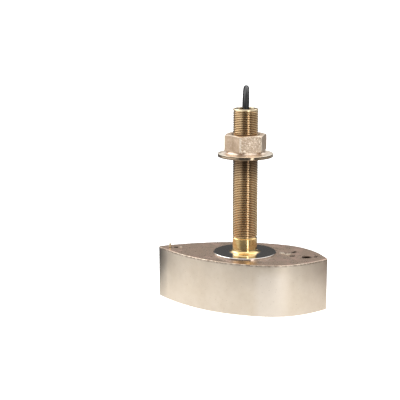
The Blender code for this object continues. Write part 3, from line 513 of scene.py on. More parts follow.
def cast_nut_bronze():
    """The nut's cast faces: pinkish, one of them coarse with painted glints, the flange's top and the flare's
    foot lightened as a painted highlight.
    """
    f = Finish("cast_nut_bronze", metallic=1.0)
    skin, wear = f.skin(0.011, 0.0009), f.wear(0.003, 0.62)
    heading = f.vector("NORMALIZE", f.vector("MULTIPLY", f.from_stem(), (1.0, 1.0, 0.0)))
    coarse = f.spread(f.vector("DOT_PRODUCT", heading, COARSE_FACE, output="Value"), 0.83, 0.87, 0.15, 1.0)
    # Painted glints: bright specks on the coarse face
    painted_glints = f.spread(f.noise(f.place, 620.0, 3.0, 0.7), 0.50, 0.62)
    _, _, z = f.split(f.place)
    # Painted highlight: the flange's top and the flare's foot lighter
    flange_painted_highlight = f.spread(z, FLANGE_TOP_Z + 0.0012, FLANGE_TOP_Z + 0.0042, 0.6, 0.0)
    base = f.layers((0.54, 0.41, 0.30), (skin["Mottle"], (0.40, 0.29, 0.20)),
                    (skin["Pits"] * (coarse * 0.7), (0.20, 0.13, 0.08)),
                    (painted_glints * (coarse * 0.8), (0.98, 0.88, 0.74)), (flange_painted_highlight, (0.90, 0.79, 0.68)),
                    (wear * 0.9, (0.98, 0.90, 0.76)))
    rough = f.spread(skin["Mottle"], 0, 1, 0.36, 0.50) - wear * 0.12
    return f.done(base, rough, f.bump(skin["Grain"], coarse * 0.9, 0.00012))


def dark_moulding(name, base, rough, scale=60.0, grain=0.2, dust=0.06):
    """Rubber or plastic with dust, scuffs and a fine grain."""
    f = Finish(name)
    marks = f.marks(scale)
    shade = f.mix(marks["Dust"] * dust, base, (0.30, 0.29, 0.27))
    roughness = f.spread(marks["Dust"], 0, 1, rough, rough + 0.12) + marks["Scuffs"] * 0.15
    return f.done(shade, roughness, f.bump(marks["Grain"], grain, 0.00005))


def cable_jacket():
    """Glossy black jacket, with faint lines along its length."""
    f = Finish("cable_jacket")
    around, _ = f.unwrapped()
    marks = f.marks(80.0)
    shade = f.mix(marks["Dust"] * 0.05, (0.008, 0.008, 0.009), (0.20, 0.20, 0.20))
    rough = f.spread(marks["Dust"], 0, 1, 0.22, 0.34) + marks["Scuffs"] * 0.12
    return f.done(shade, rough, f.bump(f.lines(around, 90.0, 2.0), 0.12, 0.00004), Specular_IOR_Level=0.25)


def tie_fabric():
    """Woven hook-and-loop tape: warp and weft across the tape's own map, in metres."""
    f = Finish("tie_fabric")
    warp, weft = [f.math("SINE", part * (2 * math.pi / WEAVE_PITCH)) for part in f.unwrapped()]
    height = warp * weft * 0.5 + f.noise(f.place, 3000.0, 3.0, 0.7)
    shade = f.mix(f.spread(height, 0.0, 1.4), (0.006, 0.006, 0.007), (0.024, 0.024, 0.027))
    return f.done(shade, 0.9, f.bump(height, 0.6, 0.0002), Sheen_Weight=0.15)


def satin_nickel():
    """The plug's coupling ring: satin nickel, with fine wear."""
    f = Finish("nickelled_brass", metallic=1.0)
    marks = f.marks(90.0)
    base = f.mix(marks["Dust"] * 0.4, (0.66, 0.63, 0.58), (0.50, 0.46, 0.40))
    return f.done(base, f.spread(marks["Scuffs"], 0, 1, 0.26, 0.42), f.bump(marks["Grain"], 0.1, 0.00002))


def grained(name, light, dark, rough, patch, grain, strength, metallic=0.0):
    """A plain material with its own patches and grain, for small pieces and those inside."""
    f = Finish(name, metallic=metallic)
    skin = f.skin(patch, grain)
    roughness = f.spread(skin["Grain"], 0.3, 1.0, rough, rough + 0.12)
    return f.done(f.mix(skin["Mottle"], light, dark), roughness, f.bump(skin["Grain"], strength, 0.0001))


def outward(mesh, merge=1e-7):
    """Merges what meets and points the faces outwards."""
    bm = bmesh.new()
    bm.from_mesh(mesh)
    bmesh.ops.remove_doubles(bm, verts=bm.verts, dist=merge)
    bmesh.ops.dissolve_degenerate(bm, edges=bm.edges, dist=merge)
    bmesh.ops.recalc_face_normals(bm, faces=bm.faces)
    bm.to_mesh(mesh)
    bm.free()


def smooth(item, angle=32):
    """Smooth shading that keeps edges sharper than the angle, in degrees."""
    item.data.polygons.foreach_set("use_smooth", [True] * len(item.data.polygons))
    item.data.set_sharp_from_angle(angle=math.radians(angle))
    item.data.update()
    return item


def link(name, mesh, *materials):
    item = bpy.data.objects.new(name, mesh)
    for material in materials:
        mesh.materials.append(material)
    bpy.context.scene.collection.objects.link(item)
    return item


def woven(name, rows, materials, ring=False, faces_of_row=None, unwrap=None, edge=None):
    """A closed skin through rows of points, each a closed loop; a ring joins the last row to the first too.

    faces_of_row gives each strip's material number, unwrap the map's (around, along) per row and column, and
    edge the wear attribute per point.
    """
    rows = np.asarray(rows, float)
    count, columns = rows.shape[:2]
    strips = count if ring else count - 1
    i, j = np.meshgrid(np.arange(strips), np.arange(columns), indexing="ij")
    i, j = i.ravel(), j.ravel()
    below, above, across = i * columns, ((i + 1) % count) * columns, (j + 1) % columns
    quads = np.stack([below + j, below + across, above + across, above + j], 1)
    mesh = bpy.data.meshes.new(name)
    mesh.from_pydata(rows.reshape(-1, 3), [], quads)
    if faces_of_row is not None:
        mesh.polygons.foreach_set("material_index", np.repeat(faces_of_row, columns)[: strips * columns])
    if unwrap is not None:
        around, along = unwrap
        layer = mesh.uv_layers.new(name="UVMap")
        u = np.stack([around[j], around[j + 1], around[j + 1], around[j]], 1)
        v = np.stack([along[i], along[i], along[i + 1], along[i + 1]], 1)
        layer.data.foreach_set("uv", np.stack([u, v], 2).ravel())
    if edge is not None:
        wear = mesh.attributes.new("edge", "FLOAT", "POINT")
        wear.data.foreach_set("value", np.asarray(edge, float).ravel())
    outward(mesh)
    return link(name, mesh, *materials)


def turned(name, profile, material, centre=(0, 0, 0), along="Z", steps=96, ring=False):
    """A turned piece; the profile is (radius, distance along the axis), axis to axis or a closed ring."""
    profile = np.array(profile, float)
    angles = 2 * math.pi * np.arange(steps) / steps
    across, upward = np.outer(profile[:, 0], np.cos(angles)), np.outer(profile[:, 0], np.sin(angles))
    axis = np.repeat(profile[:, 1:2], steps, 1)
    rows = np.stack([across, upward, axis] if along == "Z" else [axis, across, upward], 2) + np.array(centre)
    return smooth(woven(name, rows, [material], ring=ring))


def rounded(points, radius, steps=4):
    """The profile with its inner corners rounded off."""
    points = [Vector(p) for p in points]
    made = [points[0]]
    for before, corner, after in zip(points, points[1:], points[2:]):
        back, on = (before - corner), (after - corner)
        reach = min(radius, back.length * 0.45, on.length * 0.45)
        start, end = corner + back.normalized() * reach, corner + on.normalized() * reach
        for step in range(steps + 1):
            t = step / steps
            made.append(start * (1 - t) ** 2 + corner * 2 * t * (1 - t) + end * t**2)
    return made + [points[-1]]


def plain(item):
    """The modifiers' result as the piece's own mesh."""
    evaluated = item.evaluated_get(bpy.context.evaluated_depsgraph_get())
    mesh = bpy.data.meshes.new_from_object(evaluated)
    item.modifiers.clear()
    item.data = mesh
    return item


def grown(name, tree, material, **values):
    """A piece that a Geometry Nodes tree makes from its named inputs, as a plain mesh."""
    item = link(name, bpy.data.meshes.new(name))
    modifier = item.modifiers.new("growth", "NODES")
    modifier.node_group = tree
    values["Material"] = material
    for socket in tree.interface.items_tree:
        label = socket.name.replace(" ", "_")
        if socket.in_out == "INPUT" and label in values:
            modifier[socket.identifier] = values[label]
    plain(item)
    outward(item.data, 1e-6)
    return item


def carved(item, *tools):
    """Joins tools on or cuts them from a piece; each is (tool, its faces' number on the piece, operation)."""
    for tool, finish, operation in tools:
        tool.data.polygons.foreach_set("material_index", [finish] * len(tool.data.polygons))
        boolean = item.modifiers.new("carve", "BOOLEAN")
        boolean.operation = operation
        boolean.object = tool
        boolean.solver = "EXACT"
        plain(item)
        bpy.data.objects.remove(tool)
    return item


def finish_piece(item, slot, *nodes):
    """The piece rides on the body and stands for its CAD nodes, which it hides; the slot is not used."""
    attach(item, "root")
    if nodes:
        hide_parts(*nodes)
    return item


def unit(vectors):
    return vectors / np.linalg.norm(vectors, axis=1)[:, None]


def distances(points):
    """How far along its line each point lies."""
    return np.concatenate([[0], np.cumsum(np.linalg.norm(np.diff(points, axis=0), axis=1))])


def resampled(points, wanted):
    """The line's places at the wanted distances along it."""
    reached = distances(points)
    return np.stack([np.interp(wanted, reached, column) for column in points.T], 1)


def curve_through(points, spacing):
    """Points at an even spacing on a smooth curve through the given ones."""
    knots = np.array(points, float)
    knots = np.vstack([2 * knots[0] - knots[1], knots, 2 * knots[-1] - knots[-2]])
    t = np.linspace(0, 1, 24, endpoint=False)[:, None]
    fine = []
    for a, b, c, d in zip(knots, knots[1:], knots[2:], knots[3:]):
        fine.append(0.5 * (2 * b + (c - a) * t + (2 * a - 5 * b + 4 * c - d) * t**2
                           + (3 * b - a - 3 * c + d) * t**3))
    fine = np.vstack(fine + [knots[-2:-1]])
    length = distances(fine)[-1]
    return resampled(fine, np.linspace(0, length, max(2, round(length / spacing)) + 1))


def ease(t):
    t = np.clip(t, 0, 1)
    return t * t * (3 - 2 * t)


def coil_points():
    """The turns, clockwise from above: in along the top layer, out along the middle, in along the bottom."""
    whole = 2 * math.pi
    bottom, middle, top = [TURN_SPACING * (np.arange(n) - (n - 1) / 2) for n in LAYER_TURNS]
    radii = np.concatenate([top[::-1], middle, bottom[::-1]]) + COIL_MEAN_RADIUS
    layers = np.repeat([2, 1, 0], LAYER_TURNS[::-1])
    heights = BOTTOM_LAYER_Z + LAYER_RISE * layers
    first_shift = SHIFT_ANGLE - whole
    turns = len(radii)
    end = first_shift - whole * (turns - 2) - (SHIFT_ANGLE + whole - math.radians(RISE[0][0]))
    points = []
    for angle in np.linspace(COIL_START, end, round((COIL_START - end) / COIL_STEP) + 1):
        index = int(np.clip(round((first_shift - angle) / whole), 0, turns - 2))
        half = SHIFT_LENGTH * 2 / (radii[index] + radii[index + 1])
        t = ease(((first_shift - whole * index - angle) / half + 1) / 2)
        radius = radii[index] + (radii[index + 1] - radii[index]) * t
        height = heights[index] + (heights[index + 1] - heights[index]) * t
        bulge = 4 * t * (1 - t)
        if layers[index] != layers[index + 1]:
            radius += LAYER_BULGE * bulge * (1 if index > LAYER_TURNS[2] else -1)
        points.append((angle, radius, height + CROSSING_RISE * min(1, 1.5 * bulge) * layers[index]))
    return points


def polar(angle, radius, height):
    """A place about the coil's centre."""
    x, y = COIL_CENTRE
    return (x + radius * math.cos(angle), y + radius * math.sin(angle), height)


def cable_path():
    """The whole cable: out of the stem, down to the coil, round its turns, up over them and to the plug."""
    coil = [polar(*point) for point in coil_points()]
    dip, *rise = [polar(math.radians(angle), radius, height) for angle, radius, height in (DIP, *RISE[1:])]
    return curve_through([*CABLE_ROUTE, dip, *coil, *rise, *TAIL_ROUTE], CABLE_STEP)


def tube(name, path, radius, material, sides=14):
    """A round tube along a path, with its own map: around, and along in metres."""
    tangents = unit(np.gradient(path, axis=0))
    normal = np.cross(tangents[0], (0.3, 0.5, 0.8))
    frames = []
    for tangent in tangents:
        normal = normal - tangent * np.dot(normal, tangent)
        normal /= np.linalg.norm(normal)
        frames.append((normal, np.cross(tangent, normal)))
    frames = np.array(frames)
    angles = 2 * math.pi * np.arange(sides) / sides
    ring = np.cos(angles)[None, :, None] * frames[:, 0:1] + np.sin(angles)[None, :, None] * frames[:, 1:2]
    ends = [np.repeat(path[end, None, None], sides, 1) for end in (0, -1)]
    rows = np.concatenate([ends[0], path[:, None] + radius * ring, ends[1]])
    along = distances(path)
    along = np.concatenate([[0], along, along[-1:]])
    return smooth(woven(name, rows, [material], unwrap=(np.arange(sides + 1) / sides, along)), 60)


def tie_path():
    """The tape's line round the bundle's section, as (offset from the mean radius, height)."""
    wide, narrow = TURN_SPACING * 3.5, TURN_SPACING * 2.5
    low, high = BOTTOM_LAYER_Z, BOTTOM_LAYER_Z + 2 * LAYER_RISE
    reach = CABLE_RADIUS + TIE_GAP
    points = []
    for x, z, start, end in ((wide, low, -90, 30), (narrow, high, 30, 90), (-narrow, high, 90, 150),
                             (-wide, low, 150, 270)):
        for angle in np.radians(np.linspace(start, end, 6)):
            points.append((x + reach * math.cos(angle), z + reach * math.sin(angle)))
    return np.array(points + points[:1])


def build_tie(number, angle, material):
    """One hook-and-loop tie round the coil's bundle."""
    line = tie_path()
    length = distances(line)[-1]
    samples = np.linspace(0, length, 90)[:-1]
    line = resampled(line, samples)
    tangent = unit(np.roll(line, -1, 0) - np.roll(line, 1, 0))
    outside = np.stack([tangent[:, 1], -tangent[:, 0]], 1)
    half = ((0.5, 0), (0.5, 0.8), (0.46, 1), (0.2, 1))
    section = [(-share * TIE_WIDTH, thick * TIE_THICKNESS) for share, thick in half]
    section += [(-sideways, thick) for sideways, thick in section[::-1]]
    rows = []
    for (offset, height), normal in zip(line, outside):
        row = []
        for sideways, thick in section:
            r = COIL_MEAN_RADIUS + offset + normal[0] * thick
            row.append(polar(angle + sideways / r, r, height + normal[1] * thick))
        rows.append(row)
    around = np.array([sideways for sideways, _ in section] + [TIE_WIDTH])
    along = np.concatenate([samples, [length]])
    return smooth(woven(f"coil_strap_{number}", rows, [material], ring=True, unwrap=(around, along)), 50)


def flank_point(u, span, power, inset):
    """A point on one flank, moved inwards by inset: how far from the widest place, and how far out."""
    half_width = HOUSING_WIDTH / 2
    slope = -half_width * power * u ** (power - 1) / span
    stretch = math.hypot(1, slope)
    return span * u + inset * slope / stretch, half_width * (1 - u**power) - inset / stretch


def tip_parameter(span, power, inset):
    """Where on the flank its inset curve meets the centre line."""
    low, high = 0.3, 1.0
    for _ in range(40):
        middle = (low + high) / 2
        if flank_point(middle, span, power, inset)[1] > 0:
            low = middle
        else:
            high = middle
    return low


def flank_span(reach, power):
    """Length of the flank's curve, so that its rounded tip ends at reach."""
    span = reach
    for _ in range(20):
        u = tip_parameter(span, power, TIP_RADIUS)
        span += reach - flank_point(u, span, power, TIP_RADIUS)[0] - TIP_RADIUS
    return span


BLUNT_SPAN = flank_span(HOUSING_LENGTH / 2 - WIDEST_X, BLUNT_POWER)
FINE_SPAN = flank_span(HOUSING_LENGTH / 2 + WIDEST_X, FINE_POWER)


def flank(span, power, inset, tip_radius):
    """A quarter of the plan, from the widest place to the middle of the rounded tip."""
    end = tip_parameter(span, power, inset + tip_radius)
    points = [flank_point(end * i / FLANK_POINTS, span, power, inset) for i in range(FLANK_POINTS + 1)]
    centre = flank_point(end, span, power, inset + tip_radius)[0]
    x, y = points[-1]
    start = math.atan2(y, x - centre)
    for i in range(1, TIP_POINTS + 1):
        angle = start * (1 - i / TIP_POINTS)
        points.append((centre + tip_radius * math.cos(angle), tip_radius * math.sin(angle)))
    return points


def almond(z, inset, tip_radius):
    """One level section of the housing's form, counter-clockwise seen from above."""
    blunt = [(WIDEST_X + x, y) for x, y in flank(BLUNT_SPAN, BLUNT_POWER, inset, tip_radius)]
    fine = [(WIDEST_X - x, y) for x, y in flank(FINE_SPAN, FINE_POWER, inset, tip_radius)]
    upper = blunt[::-1] + fine[1:]
    lower = [(x, -y) for x, y in upper[-2:0:-1]]
    return np.array([(x, y, z) for x, y in upper + lower])


def ripple(points, size, seed):
    """Smooth noise from -1 to 1 at each point."""
    return np.array([noise.noise(Vector(p) / size + Vector((seed, 0, 0))) for p in points])


def build_housing(finishes):
    """The casting as one closed skin, from the rim up its outside and back down through the stem's bore."""
    outline = almond(0, 0, TIP_RADIUS)
    ahead, behind = np.roll(outline, -1, 0), np.roll(outline, 1, 0)
    normals = unit(np.stack([(ahead - behind)[:, 1], -(ahead - behind)[:, 0], np.zeros(len(outline))], 1))
    heading = unit(outline - np.array((STEM_X, 0, 0)))

    def level(z, inset):
        points = outline - normals * np.asarray(inset).reshape(-1, 1)
        points[:, 2] = z
        return points

    def circle(z, radius):
        return np.array((STEM_X, 0, z)) + heading * radius

    side, top, face, band, bore, inside, hole_shade = range(7)
    rows, strips, wear = [], [], []

    def add(points, finish, edge=0.0):
        rows.append(points)
        strips.append(finish)
        wear.append(np.broadcast_to(edge, len(points)))

    add(almond(0, WALL, CAVITY_TIP_RADIUS), side)
    add(level(0, DRAFT + RIM_CHAMFER), side, 0.3)
    add(level(RIM_CHAMFER, DRAFT), side, 0.3)
    unevenness = 0.0005 * ripple(outline, 0.007, 3.1) + 0.0003 * ripple(outline, 0.0022, 8.4)
    edge_radius = np.clip(EDGE_RADIUS + unevenness, *EDGE_RADII)
    for share in np.linspace(0.02, 1, 16):
        z = RIM_CHAMFER + (HOUSING_HEIGHT - edge_radius - RIM_CHAMFER) * share
        points = level(z, DRAFT * (1 - share))
        swell = 0.00005 * ripple(points, 0.030, 1.7) * math.sin(math.pi * share)
        add(points + normals * swell[:, None], side, 0.6 if share == 1 else 0.0)
    for angle in np.radians((18, 36, 54, 72, 90)):
        z = HOUSING_HEIGHT - edge_radius + edge_radius * math.sin(angle)
        add(level(z, edge_radius * (1 - math.cos(angle))), side if angle < 0.9 else top, 1.0)
    start = rows[-1]
    for share in (0.03, 0.08, 0.15, 0.24, 0.36, 0.50, 0.65, 0.80, 0.92):
        points = start + (circle(HOUSING_HEIGHT, SPOT_FACE_RADII[0]) - start) * share
        points[:, 2] += 0.00009 * ripple(points, 0.016, 5.5) * math.sin(math.pi * share)
        add(points, top, 0.4 if share < 0.05 else 0.0)
    fillet = []
    for angle in np.radians(np.linspace(10, 90, 9)):
        rise, reach = STEM_FILLET * (1 - math.cos(angle)), STEM_FILLET * (1 - math.sin(angle))
        fillet.append((SPOT_FACE_Z + rise, STEM_RADIUS + reach, band))
    for z, radius, finish in (
        (HOUSING_HEIGHT, SPOT_FACE_RADII[0], face),
        (SPOT_FACE_Z - SPOT_FACE_CHAMFER, SPOT_FACE_RADII[0], face),
        *((SPOT_FACE_Z, radius, face) for radius in SPOT_FACE_RADII[1:]),
        (SPOT_FACE_Z, STEM_RADIUS + STEM_FILLET, band),
        *fillet,
        (THREAD_START_Z - 0.0002, STEM_RADIUS, band),
        (THREAD_START_Z, STEM_RADIUS - 0.0002, band),
        (THREAD_START_Z + RELIEF_GROOVE / 2, THREAD_ROOT, band),
        (THREAD_START_Z + RELIEF_GROOVE, THREAD_CORE, bore),
        (THREAD_END_Z, THREAD_CORE, bore),
        (THREAD_END_Z, STEM_RADIUS - 0.0003, bore),
        (THREAD_END_Z + 0.0003, STEM_RADIUS, bore),
        (STEM_TOP_Z - STEM_CHAMFER, STEM_RADIUS, bore),
        (STEM_TOP_Z, STEM_RADIUS - STEM_CHAMFER, bore),
        (STEM_TOP_Z, BORE_RADIUS + STEM_CHAMFER, bore),
        (STEM_TOP_Z - STEM_CHAMFER, BORE_RADIUS, bore),
        (CEILING_Z + 0.001, BORE_RADIUS, bore),
        (CEILING_Z, BORE_RADIUS + 0.001, inside),
    ):
        add(circle(z, radius), finish)
    for angle in np.radians((90, 60, 30, 0)):
        inset = WALL + CAVITY_FILLET * (1 - math.cos(angle))
        add(almond(CEILING_Z - CAVITY_FILLET * (1 - math.sin(angle)), inset, CAVITY_TIP_RADIUS), inside)
    housing = woven("housing_casting", rows, finishes, ring=True, faces_of_row=strips, edge=wear)

    above, boss_low, boss_top = HOUSING_HEIGHT + 0.001, BOLT_FLOOR_Z - BOSS_WALL, HOUSING_HEIGHT - 0.003
    boss_radius = BOLT_RADIUS + BOSS_WALL
    boss = [(0, boss_low), (boss_radius, boss_low), (boss_radius, boss_top), (0, boss_top)]
    hole = [(0, BOLT_FLOOR_Z - 0.0018), (BOLT_RADIUS, BOLT_FLOOR_Z), (BOLT_RADIUS, HOUSING_HEIGHT - 0.0009),
            (BOLT_RADIUS + 0.0019, above), (0, above)]
    pin_hole = [(0, PIN_FLOOR_Z), (0.0015, PIN_FLOOR_Z), (0.0015, above + 0.0005), (0, above + 0.0005)]
    pore = [(0, -0.0009), (0.0007, -0.0006), (0.0009, 0), (0.0007, 0.0006), (0, 0.0009)]
    tools = [(turned("tool", profile, finishes[0], place, steps=steps), finish, operation)
             for profile, place, steps, finish, operation in (
                 (boss, (BOLT_X, 0, 0), 48, inside, "UNION"),
                 (hole, (BOLT_X, 0, 0), 64, hole_shade, "DIFFERENCE"),
                 (pin_hole, (*PIN_PLACE, 0), 24, hole_shade, "DIFFERENCE"),
                 (pore, PORE_PLACE, 12, hole_shade, "DIFFERENCE"))]
    tools += [(pad(*bar), side, "UNION") for bar in TOP_BARS]
    tools += [(pad(*hollow), hole_shade, "DIFFERENCE") for hollow in TOP_HOLLOWS]
    return smooth(carved(housing, *tools), 38)


def pad(place, size, turn):
    """A low rounded block through the housing's top face."""
    long, wide = size[0] / 2, size[1] / 2
    corner = min(long, wide) * PAD_CORNER
    outline = []
    for sx, sy, first in ((1, 1, 0), (-1, 1, 90), (-1, -1, 180), (1, -1, 270)):
        for angle in np.radians(np.linspace(first, first + 90, 5)):
            outline.append((sx * (long - corner) + corner * math.cos(angle),
                            sy * (wide - corner) + corner * math.sin(angle)))
    spin = np.array([[math.cos(turn), math.sin(turn)], [-math.sin(turn), math.cos(turn)]])
    rows = []
    for rise, share in PAD_SECTION:
        flat = (np.array(outline) * share) @ spin + place
        rows.append(np.column_stack([flat, np.full(len(flat), HOUSING_HEIGHT + PAD_HEIGHT * rise)]))
    return woven("pad", rows, [])


def close_tree(nodes, geometry, given):
    """Every shape's tree ends in real geometry with its material."""
    real = nodes.add("GeometryNodeRealizeInstances", {"Geometry": geometry})
    made = nodes.add("GeometryNodeSetMaterial", {"Geometry": real, "Material": given["Material"]})
    return nodes.result(Geometry=made)


def thread_tree():
    """A sleeve with a right-hand thread: a sheared grid whose rows follow the crest's and root's edges."""
    nodes, given = new_group("thread", {
        "Crest Radius": 0.015, "Root Radius": 0.014, "Inner Radius": 0.013, "Pitch": 0.002, "Lower End": 0.0,
        "Upper End": 0.1, "Columns": 96, "Rows": 300, "Centre": ORIGIN, "Material": None})
    crest, root, inner, pitch, low, high, columns, rows, centre, *_ = given.values()
    m = nodes.math
    grid = nodes.add("GeometryNodeMeshGrid", {"Size X": 1.0, "Size Y": 1.0, "Vertices X": columns + 1.0,
                                              "Vertices Y": rows}, "Mesh")
    x, y, _ = nodes.split(nodes.add("GeometryNodeInputPosition"))
    turn, last = x + 0.5, rows - 1.0
    row = m("ROUND", (y + 0.5) * last)
    step = m("FLOORED_MODULO", row, 4.0)
    in_root = m("FLOOR", step / 2.0)
    flat = m("FLOORED_MODULO", step, 2.0) * (CREST_FLAT - in_root * (CREST_FLAT - ROOT_FLAT))
    turns = m("FLOOR", row / 4.0) + (flat + in_root * ROOT_START) + turn - 2.0
    height = m("MINIMUM", m("MAXIMUM", low + turns * pitch, low), high)
    radius = m("MINIMUM", crest - in_root * (crest - root), root + (height - low))
    radius = m("MINIMUM", radius, root + (high - height))
    closing = m("GREATER_THAN", row, last - 0.5)
    ends = m("MAXIMUM", m("LESS_THAN", row, 0.5), m("GREATER_THAN", row, last - 1.5))
    radius = radius * (1.0 - ends) + inner * ends
    height = height * (1.0 - closing) + low * closing
    angle = turn * (2 * math.pi)
    spot = {0: radius * m("COSINE", angle), 1: radius * m("SINE", angle), 2: height}
    spot = nodes.vector("ADD", nodes.add("ShaderNodeCombineXYZ", spot), centre)
    placed = nodes.add("GeometryNodeSetPosition", {"Geometry": grid, "Position": spot})
    merged = nodes.add("GeometryNodeMergeByDistance", {"Geometry": placed, "Distance": 1e-6})
    return close_tree(nodes, merged, given)


def rib_tree():
    """Round ribs set in a circle about an axis along X."""
    nodes, given = new_group("ribs", {"Count": 36, "Circle Radius": 0.011, "Rib Radius": 0.0006,
                                      "Rib Length": 0.012, "Centre": ORIGIN, "Material": None})
    count, circle_radius, radius, length, centre, *_ = given.values()
    quarter = (0.0, math.pi / 2, 0.0)
    circle = nodes.add("GeometryNodeMeshCircle", {"Vertices": count, "Radius": circle_radius})
    placed = {"Geometry": circle, "Rotation": quarter, "Translation": centre}
    circle = nodes.add("GeometryNodeTransform", placed)
    rod = nodes.add("GeometryNodeMeshCylinder", {"Vertices": 8, "Radius": radius, "Depth": length}, "Mesh")
    rod = nodes.add("GeometryNodeTransform", {"Geometry": rod, "Rotation": quarter})
    copies = nodes.add("GeometryNodeInstanceOnPoints", {"Points": circle, "Instance": rod})
    return close_tree(nodes, copies, given)


def build_thread(tree, material):
    """The stem's thread, from the relief groove to the plain lip."""
    lower = THREAD_START_Z + RELIEF_GROOVE
    turns = math.ceil((THREAD_END_Z - lower) / THREAD_PITCH) + 3
    item = grown("stem_thread", tree, material, Crest_Radius=THREAD_CREST, Root_Radius=THREAD_ROOT,
                 Inner_Radius=THREAD_CORE, Pitch=THREAD_PITCH, Lower_End=lower, Upper_End=THREAD_END_Z,
                 Columns=THREAD_COLUMNS, Rows=4 * turns + 2, Centre=(STEM_X, 0, 0))
    return smooth(item, 25)


def build_nut(finishes):
    """The flanged nut as one closed skin, from its bore over the seat, flange, flare, hexagon and crown."""
    sector = np.sin(np.linspace(-1, 1, 48, endpoint=False) * math.pi / 2) * math.pi / 6
    faces = NUT_TURN + math.pi / 6 + np.arange(6) * math.pi / 3
    angles = np.concatenate([face + sector for face in faces])
    share = np.clip(np.cos(angles[:, None] - faces[None, :]), 0, None) ** NUT_SHARPNESS
    hexagon = NUT_FLAT / share.sum(1) ** (1 / NUT_SHARPNESS)
    slope = math.tan(NUT_CROWN)
    crown = NUT_TOP_Z - (hexagon - NUT_FACE) * slope
    foot_radius, foot_z = NUT_FLAT - 0.0002 + FLARE_RADIUS, FLANGE_TOP_Z + FLANGE_SLOPE + FLARE_RADIUS
    corner_wear = np.clip((hexagon - NUT_CORNER) / 0.0005, 0, 1) * 0.6
    cast, machined = 0, 1
    rows = [
        (NUT_BORE, NUT_SEAT_Z + NUT_COUNTERSINK, machined, 0),
        (NUT_BORE + NUT_COUNTERSINK, NUT_SEAT_Z, machined, 0),
        (FLANGE_RADIUS - 0.0006, NUT_SEAT_Z, machined, 0),
        (FLANGE_RADIUS - 0.0002, NUT_SEAT_Z + 0.0002, machined, 0),
        (FLANGE_RADIUS, NUT_SEAT_Z + 0.0006, machined, 0),
        (FLANGE_RADIUS, FLANGE_TOP_Z - 0.0006, machined, 0),
        (FLANGE_RADIUS - 0.0002, FLANGE_TOP_Z - 0.0001, cast, 1.0),
        (FLANGE_RADIUS - 0.0007, FLANGE_TOP_Z + 0.0001, cast, 1.0),
    ]
    for radius in FLANGE_RINGS:
        climb = FLANGE_SLOPE * (FLANGE_RADIUS - radius) / (FLANGE_RADIUS - foot_radius)
        rows.append((radius, FLANGE_TOP_Z + climb, cast, 0.8))
    for degrees in np.linspace(265, 186, 9):
        angle = math.radians(degrees)
        radius = foot_radius + FLARE_RADIUS * math.cos(angle)
        rows.append((np.maximum(radius, hexagon) if degrees < 200 else radius,
                     foot_z + FLARE_RADIUS * math.sin(angle), cast, 0))
    for part in (0.02, 0.15, 0.35, 0.55, 0.75, 0.90, 0.97):
        rows.append((hexagon, foot_z + (crown - foot_z) * part, cast, corner_wear))
    rows.append((hexagon - 0.00005, crown - 0.0001, cast, 0.7))
    rows.append((hexagon - NUT_EDGE, crown + 0.9 * NUT_EDGE * slope, cast, 0.8))
    for part in (0.3, 0.6, 0.9):
        radius = hexagon - NUT_EDGE + (NUT_FACE - hexagon + NUT_EDGE) * part
        rows.append((radius, NUT_TOP_Z - (radius - NUT_FACE) * slope, cast, 0))
    rows += [
        (NUT_FACE - 0.0003, NUT_TOP_Z, cast, 0.4),
        (NUT_FACE_INNER, NUT_TOP_Z, cast, 0),
        (NUT_BORE + NUT_COUNTERSINK, NUT_TOP_Z, machined, 0),
        (NUT_BORE, NUT_TOP_Z - NUT_COUNTERSINK, machined, 0),
    ]
    radii, heights, strips, wear = zip(*rows)
    radii, heights, wear = [np.array([np.broadcast_to(value, angles.shape) for value in values])
                            for values in (radii, heights, wear)]
    skin = np.stack([STEM_X + radii * np.cos(angles), radii * np.sin(angles), heights], 2)
    nut = woven("flanged_nut", skin, finishes, ring=True, faces_of_row=strips, edge=wear)
    points = np.array([v.co for v in nut.data.vertices])
    normals = np.array([v.normal for v in nut.data.vertices])
    distance = np.hypot(points[:, 0] - STEM_X, points[:, 1])
    rough = (distance > 0.018) & (points[:, 2] > FLANGE_TOP_Z)
    lift = 0.00010 * ripple(points, 0.0055, 2.2) + 0.00004 * ripple(points, 0.0018, 6.1)
    points += normals * (lift * rough)[:, None]
    nut.data.vertices.foreach_set("co", points.ravel())
    return smooth(nut, 40)


def build_window(material):
    """The urethane face in the housing's open bottom, with the sensor's hole."""
    inset, tip = WALL + GAP, CAVITY_TIP_RADIUS - GAP
    rim = almond(GAP, inset + WINDOW_EDGE, tip - WINDOW_EDGE)
    rows = [rim * (share, share, 1) for share in (0.0, 0.3, 0.6, 0.85, 1.0)]
    rows += [almond(GAP + 0.0003, inset + 0.0003, tip - 0.0003), almond(GAP + WINDOW_EDGE, inset, tip),
             almond(WINDOW_TOP_Z, inset, tip)]
    rows.append(rows[-1] * (0, 0, 1))
    window = woven("urethane_window", rows, [material])
    radius = SENSOR_RADIUS + GAP
    profile = [(0, -0.002), (radius, -0.002), (radius, 0.01), (0, 0.01)]
    hole = turned("hole", profile, material, (SENSOR_X, 0, 0), steps=64)
    return smooth(carved(window, (hole, 0, "DIFFERENCE")), 38)


